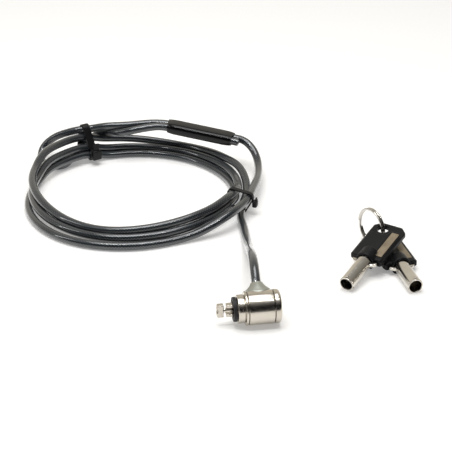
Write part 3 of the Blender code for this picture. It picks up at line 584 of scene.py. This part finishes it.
def cableTube():
    offset = cablePath / mm - np.array(crimpMiddle)
    along = offset @ np.array(crimpAlong)
    inside = np.abs(along) < crimp["ropeHalf"] - 0.2
    apart = np.linalg.norm(offset - np.outer(along, np.array(crimpAlong)), axis=1)
    inside &= apart < crimp["near"]                    # narrowed to the bare rope inside the ferrule
    radii = np.where(inside, cable["coreRadius"], cable["radius"])
    ahead = np.gradient(cablePath, axis=0)
    ahead /= np.linalg.norm(ahead, axis=1)[:, None]
    sides, uvRows, rings = cable["sides"], [], []
    shape = bmesh.new()
    uvLayer = shape.loops.layers.uv.new("alongPiece")
    side = np.cross(ahead[0], (0, 0, 1.0))
    run = 0.0
    for index, (centre, front) in enumerate(zip(cablePath, ahead)):
        side = side - front * side.dot(front)      # carried along without twist
        side /= np.linalg.norm(side)
        up = np.cross(front, side)
        if index:
            run += float(np.linalg.norm(centre - cablePath[index - 1]))
        ring = []
        for step in range(sides):
            turn = math.tau * step / sides
            outward = side * math.cos(turn) + up * math.sin(turn)
            ring.append(shape.verts.new(centre + radii[index] * outward))
        rings.append(ring)
        uvRows.append(run)
    for index in range(len(rings) - 1):
        for step in range(sides):
            after = (step + 1) % sides
            face = shape.faces.new((rings[index][step], rings[index][after],
                                    rings[index + 1][after], rings[index + 1][step]))
            places = ((step, index), (step + 1, index), (step + 1, index + 1), (step, index + 1))
            for loop, (across, row) in zip(face.loops, places):
                loop[uvLayer].uv = (across / sides, uvRows[row])
    shape.faces.new(rings[0])
    shape.faces.new(rings[-1])
    return shape


cableCord = makePiece("cableCord", cableTube(), sheath, scale=1.0, sharp=50.0)
keep(cableCord, "cable_assembly", "smoke_sheath", "cable_tail", "cable_strand", "cable_loop", "cable_cut_end",
     "cable_coil", "rope_core_far", "rope_core_near")
print("cable lock: cable made, metres long:", round(float(cableLength), 3))

# Wire ends at the cut: one strand in the middle and six round it.
wireEnds = {"strandRadius": 0.46, "ringRadius": 0.97, "proud": 0.5}
wireTree, given = startTree("strandEnds", [
    ("strandRadius", "NodeSocketFloat"), ("ringRadius", "NodeSocketFloat"),
    ("proud", "NodeSocketFloat"), ("metal", "NodeSocketMaterial")])
strandRing = addNode(wireTree, "GeometryNodeMeshCircle", {"Vertices": 6, "Radius": given["ringRadius"]})
strandMiddle = addNode(wireTree, "GeometryNodeMeshLine", {"Count": 1})
strandPlaces = addNode(wireTree, "GeometryNodeJoinGeometry")
wireTree.links.new(strandRing.outputs[0], strandPlaces.inputs[0])
wireTree.links.new(strandMiddle.outputs[0], strandPlaces.inputs[0])
strandRod = addNode(wireTree, "GeometryNodeMeshCylinder", {
    "Vertices": 14, "Radius": given["strandRadius"], "Depth": given["proud"]})
strands = addNode(wireTree, "GeometryNodeInstanceOnPoints", {
    "Points": strandPlaces.outputs[0], "Instance": strandRod.outputs[0]})
endTree(wireTree, strands.outputs[0], given["metal"])
cutFace = Vector(cutRoute[-1])
cutFacing = (cutFace - Vector(cutRoute[-2])).normalized()
strandEnds = nodesPiece("strandEnds", wireTree, {
    **{name: size * mm for name, size in wireEnds.items()}, "metal": springSteel})
strandEnds.data.transform(Matrix.Translation(cutFace + cutFacing * 0.0001)
                          @ cutFacing.to_track_quat("Z", "X").to_matrix().to_4x4())
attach(strandEnds, "cable_assembly")


# ---- moulded sleeve over the crimp

def crimpCover():
    half = (crimpRight - crimpLeft).length / 2
    outer = filleted(boxCorners(crimp["width"], crimp["height"], crimp["round"]), 7)
    inner = filleted(boxCorners(crimp["slotWidth"], crimp["slotHeight"], crimp["round"] - 0.3), 7)
    stations = []                           # (distance from the end, inset) round the end's rim
    for step in range(9):
        turn = math.pi / 2 * step / 8
        stations.append((crimp["endRound"] * (1 - math.cos(turn)), crimp["endRound"] * (1 - math.sin(turn))))
    leftDeep = (crimp["height"] - crimp["slotHeight"]) / 2 + 0.45
    profile = [(x - half, inset) for x, inset in stations if inset < leftDeep]
    profile += [(x, 0.0) for x in np.linspace(3 - half, half - 3, 24)]
    profile += [(half - x, inset) for x, inset in reversed(stations) if inset < 0.9]

    def slanted(x, point, slant):
        return (x - slant * point.x / crimp["width"] * 2, point.x, point.y)

    shape = bmesh.new()
    rings = []
    for x, inset in profile:
        inset = min(inset + crimp["endWaist"] * (1 - eased((half - abs(x)) / 4.5)), crimp["deepest"])
        slant = crimp["endSlant"] * eased((5 - x - half) / 5)
        rings.append([shape.verts.new(slanted(x, p, slant)) for p in insetOutline(outer, inset)])
    for x, slant in ((half, 0.0), (-half, crimp["endSlant"])):
        rings.append([shape.verts.new(slanted(x, p, slant)) for p in inner])
    skinRings(shape, rings)
    return shape


crimpPlace = Matrix.Translation(crimpMiddle) @ crimpAlong.to_track_quat("X", "Z").to_matrix().to_4x4()
crimpSleeve = makePiece("crimpSleeve", crimpCover(), sleevePlastic, crimpPlace, sharp=50.0)
keep(crimpSleeve, "cable_assembly", "black_plastic", "crimp_cover")


# ---- ties: each band is drawn tight round the strands that cross its plane

ties = {
    "tie_left": {"piece": "tieLeft", "angle": 112.6, "headSide": -1, "headZ": 6.5,
                 "head": (4.4, 5.8, 5.4), "tail": 4.6, "width": 4.4},
    "tie_right": {"piece": "tieRight", "angle": -27.0, "headSide": 1, "headZ": 6.5,
                  "head": (2.6, 3.6, 3.6), "tail": 2.4, "width": 2.6},
}
tieBand = {"thickness": 0.8, "slack": 0.22, "edge": 0.2, "from": 48.0, "to": 74.0,
           "headSink": 0.5, "tailStep": 0.6, "ribPitch": 0.8, "ribSize": (0.35, 0.4)}


def strandCrossings(angle):
    # Where the cable passes through the upright plane at this angle round the coil, as (radius, height).
    middle = np.array(cable["coilCentre"])
    turn = math.radians(angle)
    flat = (cablePath[:, :2] - middle) / mm
    outward = flat @ np.array((math.cos(turn), math.sin(turn)))
    across = flat @ np.array((-math.sin(turn), math.cos(turn)))
    found = []
    for index in range(len(across) - 1):
        if across[index] * across[index + 1] <= 0 and tieBand["from"] < outward[index] < tieBand["to"]:
            found.append((float(outward[index]), float(cablePath[index, 2] / mm)))
    return found


def hullRound(places, radius):
    # Convex outline round circles of this radius.
    dots = sorted({(round(r + radius * math.cos(turn), 4), round(z + radius * math.sin(turn), 4))
                   for r, z in places for turn in np.linspace(0, math.tau, 40, endpoint=False)})

    def chain(points):
        side = []
        for p in points:
            while len(side) > 1 and ((side[-1][0] - side[-2][0]) * (p[1] - side[-2][1])
                                     - (side[-1][1] - side[-2][1]) * (p[0] - side[-2][0])) <= 1e-6:
                side.pop()
            side.append(p)
        return side[:-1]
    return [Vector(p) for p in chain(dots) + chain(dots[::-1])]


def evenOutline(outline, count):
    closed = np.array([tuple(p) for p in outline] + [tuple(outline[0])])
    run = np.concatenate([[0], np.cumsum(np.linalg.norm(np.diff(closed, axis=0), axis=1))])
    steps = np.linspace(0, run[-1], count, endpoint=False)
    return [Vector((np.interp(s, run, closed[:, 0]), np.interp(s, run, closed[:, 1]))) for s in steps]


ribTree, given = startTree("tieRibs", [
    ("count", "NodeSocketInt"), ("pitch", "NodeSocketVector"), ("ribSize", "NodeSocketVector"),
    ("nylon", "NodeSocketMaterial")])
ribLine = addNode(ribTree, "GeometryNodeMeshLine", {"Count": given["count"], "Offset": given["pitch"]})
ribBlock = addNode(ribTree, "GeometryNodeMeshCube", {"Size": given["ribSize"]})
ribs = addNode(ribTree, "GeometryNodeInstanceOnPoints", {
    "Points": ribLine.outputs[0], "Instance": ribBlock.outputs[0]})
endTree(ribTree, ribs.outputs[0], given["nylon"])


def makeTie(name, look):
    places = strandCrossings(look["angle"])
    inner = evenOutline(hullRound(places, cable["radius"] / mm + tieBand["slack"]), 96)
    shape = bmesh.new()
    half, thick, edge = look["width"] / 2, tieBand["thickness"], tieBand["edge"]
    section = [(0.0, half), (0.0, -half), (thick - edge, -half), (thick, edge - half), (thick, half - edge),
               (thick - edge, half)]
    rings = []
    for out, across in section:
        rings.append([shape.verts.new((p.x, p.y, across)) for p in insetOutline(inner, -out)])
    skinRings(shape, rings)
    deep, tall, wide = look["head"]
    reach = (max if look["headSide"] > 0 else min)(p.x for p in insetOutline(inner, -thick))
    headR = reach + look["headSide"] * (deep / 2 - tieBand["headSink"])
    tailR = headR + look["headSide"] * tieBand["tailStep"]
    headTop = look["headZ"] + tall / 2
    head = moved(slabShape(boxCorners(deep, tall, 0.7), -wide / 2, wide / 2, 0.5),
                 Matrix.Translation((headR, look["headZ"], 0.0)))
    tail = moved(slabShape(boxCorners(thick, look["tail"], 0.2), 0.45 - half, half - 0.45, 0.2),
                 Matrix.Translation((tailR, headTop + look["tail"] / 2 - tieBand["tailStep"], 0.0)))
    centre = Vector((*cable["coilCentre"], 0.0)) / mm
    place = (Matrix.Translation(centre) @ Matrix.Rotation(math.radians(look["angle"]), 4, "Z")
             @ Matrix.Rotation(math.pi / 2, 4, "X"))
    tie = makePiece(look["piece"], joinShapes([shape, head, tail]), nylonBlack, place)
    keep(tie, "cable_assembly", "black_plastic", name)
    ribDeep, ribTall = tieBand["ribSize"]
    teeth = nodesPiece(tie.name + "Ribs", ribTree, {
        "count": int((look["tail"] - 1.4) / tieBand["ribPitch"]),
        "pitch": (0.0, tieBand["ribPitch"] * mm, 0.0),
        "ribSize": (ribDeep * mm, ribTall * mm, look["width"] * 0.6 * mm), "nylon": nylonBlack})
    onTail = place @ Matrix.Translation((tailR + look["headSide"] * thick / 2, headTop + 0.5, 0.0))
    onTail.translation *= mm
    teeth.data.transform(onTail)
    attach(teeth, "cable_assembly")
    return tie, teeth


tieLeft, tieLeftRibs = makeTie("tie_left", ties["tie_left"])
tieRight, tieRightRibs = makeTie("tie_right", ties["tie_right"])
print("cable lock: crimp sleeve and ties made")


# ---- lock head; x runs along the barrel from the washer's front face

lock = {"front": (-45.2, -32.78, 8.0), "outer": 8.0, "keyway": 4.05}
lockPlace = Matrix.Translation(lock["front"])

# Turned parts: body, slot, node, metal, steps round, then the outline as (distance back, radius, rounding).
turnedParts = {
    "washer": ("lock_barrel", "black_rubber", "rubber_washer", nitrileRubber, 96, [
        (0.0, 3.7, 0.2), (0.0, 5.75, 0.25), (1.6, 5.75, 0.2), (1.6, 3.7, 0.15)]),
    "barrelBody": ("lock_barrel", "polished_nickel", "lock_body", turnedNickel, 128, [
        (1.9, 1.25, 0.1), (1.9, 6.65, 0.5), (5.1, 6.65, 0.3), (5.1, 6.0, 0.0), (18.7, 6.0, 0.1),
        (18.7, 4.9, 0.1), (4.0, 4.9, 0.0), (4.0, 1.25, 0.0)]),
    "frontRing": ("lock_barrel", "polished_nickel", "front_ring", turnedNickel, 128, [
        (5.4, 6.15), (5.4, lock["outer"], 0.3), (6.5, lock["outer"], 0.3), (6.5, 6.15)]),
    "swivelSleeve": ("cable_assembly", "polished_nickel", "swivel_sleeve", turnedNickel, 160, [
        (6.8, 6.2, 0.2), (6.8, lock["outer"], 0.35), (18.6, lock["outer"], 0.35), (18.6, 6.2, 0.2)]),
}
for name, (body, slotName, node, metal, steps, outline) in turnedParts.items():
    keep(makePiece(name, turnedShape(outline, steps), metal, lockPlace), body, slotName, node)

endSize = {"spigotFront": 16.9, "spigot": 4.75, "front": 18.9, "back": 21.9, "backRound": 1.25, "notch": 1.7}
endRing = makePiece("endRing", turnedShape([
    (endSize["spigotFront"], lock["keyway"]), (endSize["spigotFront"], endSize["spigot"]),
    (endSize["front"], endSize["spigot"]), (endSize["front"], lock["outer"], 0.25),
    (endSize["back"], lock["outer"], endSize["backRound"]), (endSize["back"], lock["keyway"], 0.2)], 128),
    turnedNickel, lockPlace)
carve(endRing, slabShape(boxCorners(6.0, endSize["notch"], 0.3), 3.2, 5.4, 0.1),
      lockPlace @ Matrix.Translation((endSize["back"], 0, 0)), sharp=35.0)
keep(endRing, "lock_barrel", "polished_nickel", "rear_cap")

guardSize = {"length": 6.5, "width": 2.7, "low": 1.6, "high": 3.15, "clear": 0.05}
for label, side in (("upper", 1), ("lower", -1)):
    guard = slabShape(boxCorners(guardSize["length"], guardSize["width"], 0.35),
                      guardSize["low"], guardSize["high"], 0.3)
    if side < 0:
        guard = moved(guard, Matrix.Rotation(math.pi, 4, "X"))
    guardPin = makePiece("guardPin" + label.capitalize(), guard, turnedNickel,
                         lockPlace @ Matrix.Translation((guardSize["clear"], 0.0, 0.0)))
    keep(guardPin, "lock_barrel", "polished_nickel", "guard_pin_" + label)

# The T-bar's head has two rounded lobes with a shallow groove between them.
barSize = {"halfLong": 3.2, "halfWide": 1.35, "front": -7.6, "shoulder": -7.1, "groove": -7.25, "back": -4.3,
           "shaft": 1.1, "shaftBack": 8.6}
lobe = [(barSize["front"], 2.1, 0.4), (barSize["front"], 0.75, 0.3), (barSize["groove"], 0.35, 0.2)]
barHead = slabShape([
    (barSize["shoulder"], -barSize["halfLong"], 0.5), (barSize["back"], -barSize["halfLong"], 0.3),
    (barSize["back"], barSize["halfLong"], 0.3), (barSize["shoulder"], barSize["halfLong"], 0.5),
    *lobe, *[(x, -z, round) for x, z, round in reversed(lobe)]],
    -barSize["halfWide"], barSize["halfWide"], 0.4, 4)
barHead = moved(barHead, Matrix.Rotation(math.pi / 2, 4, "X"))
barShaft = turnedShape([(-5.0, 0.0), (-5.0, barSize["shaft"]), (barSize["shaftBack"], barSize["shaft"], 0.2),
                        (barSize["shaftBack"], 0.0)], 40)
tBar = makePiece("tBar", joinShapes([barHead, barShaft]), turnedNickel, lockPlace)
keep(tBar, "plug", "polished_nickel", "locking_bar")

keyPinSize = {"front": 13.7, "back": 18.0, "radius": 0.5, "pitch": 3.42}
cutDepths = (0.2, 0.7, 0.4, 1.0, 0.5, 0.9, 0.3)       # one for each pin, and for each cut in the keys' mouths
for number, cutDepth in enumerate(cutDepths):
    turn = math.tau * number / len(cutDepths)
    offset = Matrix.Translation(keyPinSize["pitch"] * Vector((0.0, math.sin(turn), math.cos(turn))))
    front, back, radius = keyPinSize["front"], keyPinSize["back"] - cutDepth, keyPinSize["radius"]
    keyPin = makePiece(f"keyPin{number + 1}", turnedShape([
        (front, 0.0), (front, radius, 0.08), (back, radius, 0.22), (back, 0.0)], 20),
        turnedBrass, lockPlace @ offset)
    keep(keyPin, "key_pins", "brass", f"key_pin_{number + 1}")


neckSize = {"place": 12.7, "tilt": 35.0, "foot": 7.6, "flare": 8.5, "bore": 2.45}


def neckBend(x, radius, turn):
    # The foot of the neck follows the round of the sleeve.
    across = radius * math.cos(turn)
    drop = lock["outer"] - math.sqrt(lock["outer"] ** 2 - across ** 2)
    return x - drop * (1 - eased((x - neckSize["flare"]) / 2.0)), radius


neckTilt = math.radians(neckSize["tilt"])
neckOut = Vector((0.0, math.cos(neckTilt), math.sin(neckTilt)))
neckPlace = (lockPlace @ Matrix.Translation((neckSize["place"], 0.0, 0.0))
             @ neckOut.to_track_quat("X", "Z").to_matrix().to_4x4())
neck = makePiece("cableNeck", turnedShape([
    (neckSize["foot"], neckSize["bore"]), (neckSize["foot"], 5.9, 0.1), (8.1, 6.1, 0.2),
    (neckSize["flare"], 5.9, 0.3), (9.1, 5.1, 0.8), (10.0, 4.1, 1.0), (11.0, 3.4, 0.8), (12.0, 2.98, 0.35),
    (12.0, neckSize["bore"], 0.15)], 80, neckBend), satinZinc, neckPlace)
keep(neck, "cable_assembly", "satin_zinc", "cable_neck")
print("cable lock: lock head made")


# ---- keys: x runs from the mouth to the end of the head

keyLook = {
    "radius": 3.8, "bore": 3.1, "boreDepth": 15.0, "tubeEnd": 21.0,
    "seam": -62.0, "seamHalf": 1.4, "seamDepth": 0.3, "cutHalf": 6.5, "cutDeep": 0.32,     # angles in degrees
    "ringHole": (45.2, 3.0), "holeRadius": 3.0, "halfWide": 8.75, "padHalf": 7.85,
    "strip": (33.5, -5.0), "stripSize": (19.8, 4.0), "stripRoom": 0.5,
    "voxel": 0.24, "lowerTurn": 94.0, "upperTurn": 48.1, "upperTilt": 10.6,
}
keyRing = {
    "centre": (37.27, 31.43, 10.3), "direction": (-0.391, 0.920, 0.0), "radius": 9.4,
    "radial": 1.2, "axial": 1.0, "edgeRound": 0.28, "turns": 1.94, "gap": 0.16, "points": 260,
    "lowerHole": 6.25, "upperHole": 9.25,      # from the ring's centre to each key's hole
}
ringCentre = Vector(keyRing["centre"])
ringDirection = Vector(keyRing["direction"]).normalized()


def keyTubeBend(x, radius, turn):
    degrees = math.degrees(turn)
    outside = radius > keyLook["bore"] + 0.3
    if outside:     # bitting: shallow cuts in the mouth's outer edge, all but the one where the nib stands
        for number, cutDepth in enumerate(cutDepths):
            away = abs((degrees - 360 * number / len(cutDepths) + 180) % 360 - 180)
            if number and away < keyLook["cutHalf"] and x < cutDepth + 0.35:
                radius = min(radius, keyLook["radius"] - keyLook["cutDeep"])
    away = abs((degrees - keyLook["seam"] + 180) % 360 - 180)
    if away < keyLook["seamHalf"] and radius > keyLook["bore"] + 0.3:      # butted edges of the rolled strip
        radius -= keyLook["seamDepth"]
    return x, radius


def mirrored(corners):
    # An outline drawn for one side of the key's length, then run back along the other side.
    return corners + [(x, -y, *rest) for x, y, *rest in reversed(corners)]


def makeKey(label, place, body):
    root = place @ Matrix.Translation((-keyLook["ringHole"][0], -keyLook["ringHole"][1], 0.0))
    bore, radius, name = keyLook["bore"], keyLook["radius"], label.capitalize()
    mouth = [(step / 10, radius) for step in range(5, 17, 2)]      # fine steps where the cuts are
    tube = turnedShape([
        (keyLook["boreDepth"], 0.0), (keyLook["boreDepth"], bore), (0.0, bore, 0.2), (0.0, radius, 0.2),
        *mouth, (keyLook["tubeEnd"], radius), (keyLook["tubeEnd"], 0.0)], 150, keyTubeBend)
    plate = slabShape(mirrored([
        (17.0, -3.3, 0.2), (17.6, -5.2, 0.8), (18.8, -6.5, 0.7), (20.3, -6.5, 0.3), (20.3, -4.4, 0.1),
        (36.0, -4.4, 0.3)]), -0.75, 0.75, 0.25)
    nib = moved(slabShape(boxCorners(1.6, 1.2, 0.3), 3.2, 4.4, 0.25), Matrix.Translation((1.6, 0.0, 0.0)))
    keyTube = makePiece("keyTube" + name, joinShapes([tube, plate, nib]), rolledNickel, root)
    keep(keyTube, body, "polished_nickel", "key_tube_" + label)

    wide, padWide = keyLook["halfWide"], keyLook["padHalf"]
    head = makePiece("keyHead" + name, slabShape(mirrored([
        (20.6, -wide, 1.0), (46.8, -wide, 1.2), (50.0, 3.2 - wide, 1.2)]), -1.4, 1.4, 0.5), keyPlastic)
    pad = slabShape([
        (20.62, -padWide, 0.9), (41.6, -padWide, 1.0), (44.9, -6.3, 0.8), (44.9, -2.3, 0.8),
        (40.5, -0.6, 1.0), (40.5, padWide, 1.0), (20.62, padWide, 0.9)], -2.1, 2.1, 0.45)
    carve(head, pad, operation="UNION")
    arch = turnedShape([(19.2, 0.0), (19.2, 5.0, 0.6), (26.0, 5.0, 1.6), (28.0, 3.2, 1.0), (29.0, 0.0)], 48)
    bmesh.ops.bisect_plane(arch, geom=[*arch.verts, *arch.edges, *arch.faces], clear_outer=True,
                           plane_co=(0.0, 0.0, -3.72), plane_no=(0.0, 0.0, -1.0))
    bmesh.ops.holes_fill(arch, edges=arch.edges)
    carve(head, arch, operation="UNION")
    carve(head, turnedShape([(17.6, 0.0), (17.6, 4.05), (21.3, 4.05), (21.3, 0.0)], 48))
    carve(head, slabShape(mirrored([(17.6, -6.8), (20.9, -6.8), (20.9, -4.7), (36.3, -4.7)]),
                          -1.0, 1.0, 0.05))
    holeRadius = keyLook["holeRadius"]
    carve(head, moved(turnedShape([(-5.0, 0.0), (-5.0, holeRadius), (5.0, holeRadius), (5.0, 0.0)], 48),
                      Matrix.Translation((*keyLook["ringHole"], 0.0)) @ Matrix.Rotation(math.pi / 2, 4, "Y")))
    stripPlace = Matrix.Translation((*keyLook["strip"], 0.0))
    long, across = keyLook["stripSize"]
    room = boxCorners(long + keyLook["stripRoom"], across + keyLook["stripRoom"], 0.5)
    carve(head, moved(slabShape(room, 1.55, 3.0, 0.05), stripPlace))
    remesh = head.modifiers.new("moulded", "REMESH")
    remesh.mode, remesh.voxel_size, remesh.use_smooth_shade = "VOXEL", keyLook["voxel"] * mm, True
    soften = head.modifiers.new("softened", "SMOOTH")
    soften.factor, soften.iterations = 0.5, 5
    settled(head)
    head.data.transform(Matrix.Scale(mm, 4) @ root @ Matrix.Scale(1 / mm, 4))
    keep(head, body, "black_plastic", "key_head_" + label)

    strip = moved(slabShape(boxCorners(long, across, 0.4), 1.62, 2.2, 0.18), stripPlace)
    uvLayer = strip.loops.layers.uv.new("alongPiece")
    for face in strip.faces:
        for loop in face.loops:
            loop[uvLayer].uv = loop.vert.co.xy * mm
    inlay = makePiece("keyInlay" + name, strip, stripFoil, root)
    keep(inlay, body, "silver_strip", "key_inlay_" + label)


lowerHole = ringCentre - ringDirection * keyRing["lowerHole"]
lowerHole.z = keyLook["radius"]
makeKey("lower", Matrix.Translation(lowerHole) @ Matrix.Rotation(math.radians(keyLook["lowerTurn"]), 4, "Z"),
        "lower_key")
upperTilt = math.radians(keyLook["upperTilt"])      # its head lies on the lower key's head
upperHole = ringCentre - ringDirection * keyRing["upperHole"]
upperHole.z = keyLook["radius"] * math.cos(upperTilt) + keyLook["ringHole"][0] * math.sin(upperTilt)
makeKey("upper", Matrix.Translation(upperHole) @ Matrix.Rotation(math.radians(keyLook["upperTurn"]), 4, "Z")
        @ Matrix.Rotation(-upperTilt, 4, "Y"), "upper_key")
print("cable lock: keys made")


# ---- split ring: flat wire swept along nearly two turns that cross over half way

ringTree, given = startTree("splitRing", [
    ("radius", "NodeSocketFloat"), ("turns", "NodeSocketFloat"), ("step", "NodeSocketFloat"),
    ("wireRadial", "NodeSocketFloat"), ("wireAxial", "NodeSocketFloat"), ("steel", "NodeSocketMaterial")])
wireLine = addNode(ringTree, "GeometryNodeCurvePrimitiveLine")
wirePoints = addNode(ringTree, "GeometryNodeResampleCurve", {
    "Curve": wireLine.outputs[0], "Count": keyRing["points"]})
share = addNode(ringTree, "GeometryNodeSplineParameter").outputs["Factor"]
turned = addNode(ringTree, "ShaderNodeMath", {0: share, 1: given["turns"]}, operation="MULTIPLY")
angleNow = addNode(ringTree, "ShaderNodeMath", {0: turned.outputs[0], 1: math.tau}, operation="MULTIPLY")
reaches = []
for operation in ("SINE", "COSINE"):
    wave = addNode(ringTree, "ShaderNodeMath", {0: angleNow.outputs[0]}, operation=operation)
    reaches.append(addNode(ringTree, "ShaderNodeMath", {
        0: wave.outputs[0], 1: given["radius"]}, operation="MULTIPLY").outputs[0])
backX = addNode(ringTree, "ShaderNodeMath", {0: reaches[0], 1: -1.0}, operation="MULTIPLY")
jog = addNode(ringTree, "ShaderNodeMapRange", {0: share, 1: 0.42, 2: 0.58, 3: -0.5, 4: 0.5},
              interpolation_type="SMOOTHSTEP")
side = addNode(ringTree, "ShaderNodeMath", {0: jog.outputs[0], 1: given["step"]}, operation="MULTIPLY")
spot = addNode(ringTree, "ShaderNodeCombineXYZ", {0: backX.outputs[0], 1: reaches[1], 2: side.outputs[0]})
laid = addNode(ringTree, "GeometryNodeSetPosition", {
    "Geometry": wirePoints.outputs[0], "Position": spot.outputs[0]})
level = addNode(ringTree, "GeometryNodeSetCurveNormal", {"Curve": laid.outputs[0]}, mode="Z_UP")
wireSection = addNode(ringTree, "GeometryNodeCurvePrimitiveQuadrilateral", {
    "Width": given["wireRadial"], "Height": given["wireAxial"]})
roundSection = addNode(ringTree, "GeometryNodeFilletCurve", {
    "Curve": wireSection.outputs[0], "Radius": keyRing["edgeRound"] * mm, "Count": 3}, mode="POLY")
wire = addNode(ringTree, "GeometryNodeCurveToMesh", {
    "Curve": level.outputs[0], "Profile Curve": roundSection.outputs[0], "Fill Caps": True})
endTree(ringTree, wire.outputs[0], given["steel"])
splitRing = nodesPiece("splitRing", ringTree, {
    "radius": keyRing["radius"] * mm, "turns": keyRing["turns"],
    "step": (keyRing["axial"] + keyRing["gap"]) * mm,
    "wireRadial": keyRing["radial"] * mm, "wireAxial": keyRing["axial"] * mm, "steel": platedWire})
ringAcross = ringDirection.cross(Vector((0.0, 0.0, 1.0)))
splitRing.data.transform(Matrix.Translation(ringCentre * mm)
                         @ ringAcross.to_track_quat("X", "Z").to_matrix().to_4x4()
                         @ Matrix.Rotation(math.pi / 2, 4, "Y"))
keep(splitRing, "key_ring", "plain_steel", "split_ring")


# ---- inner parts keep their CAD shape and get their real metals

innerMetals = {
    turnedBrass: ["pin_block", "plug_rotor"],
    springSteel: ["cross_pin", "cable_stop", "crimp_ferrule"]
    + [f"driver_pin_{n}" for n in range(1, 8)] + [f"driver_spring_{n}" for n in range(1, 8)],
}
for metal, names in innerMetals.items():
    for name in names:
        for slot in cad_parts[name].material_slots:
            slot.material = metal

print("cable lock: all pieces made")
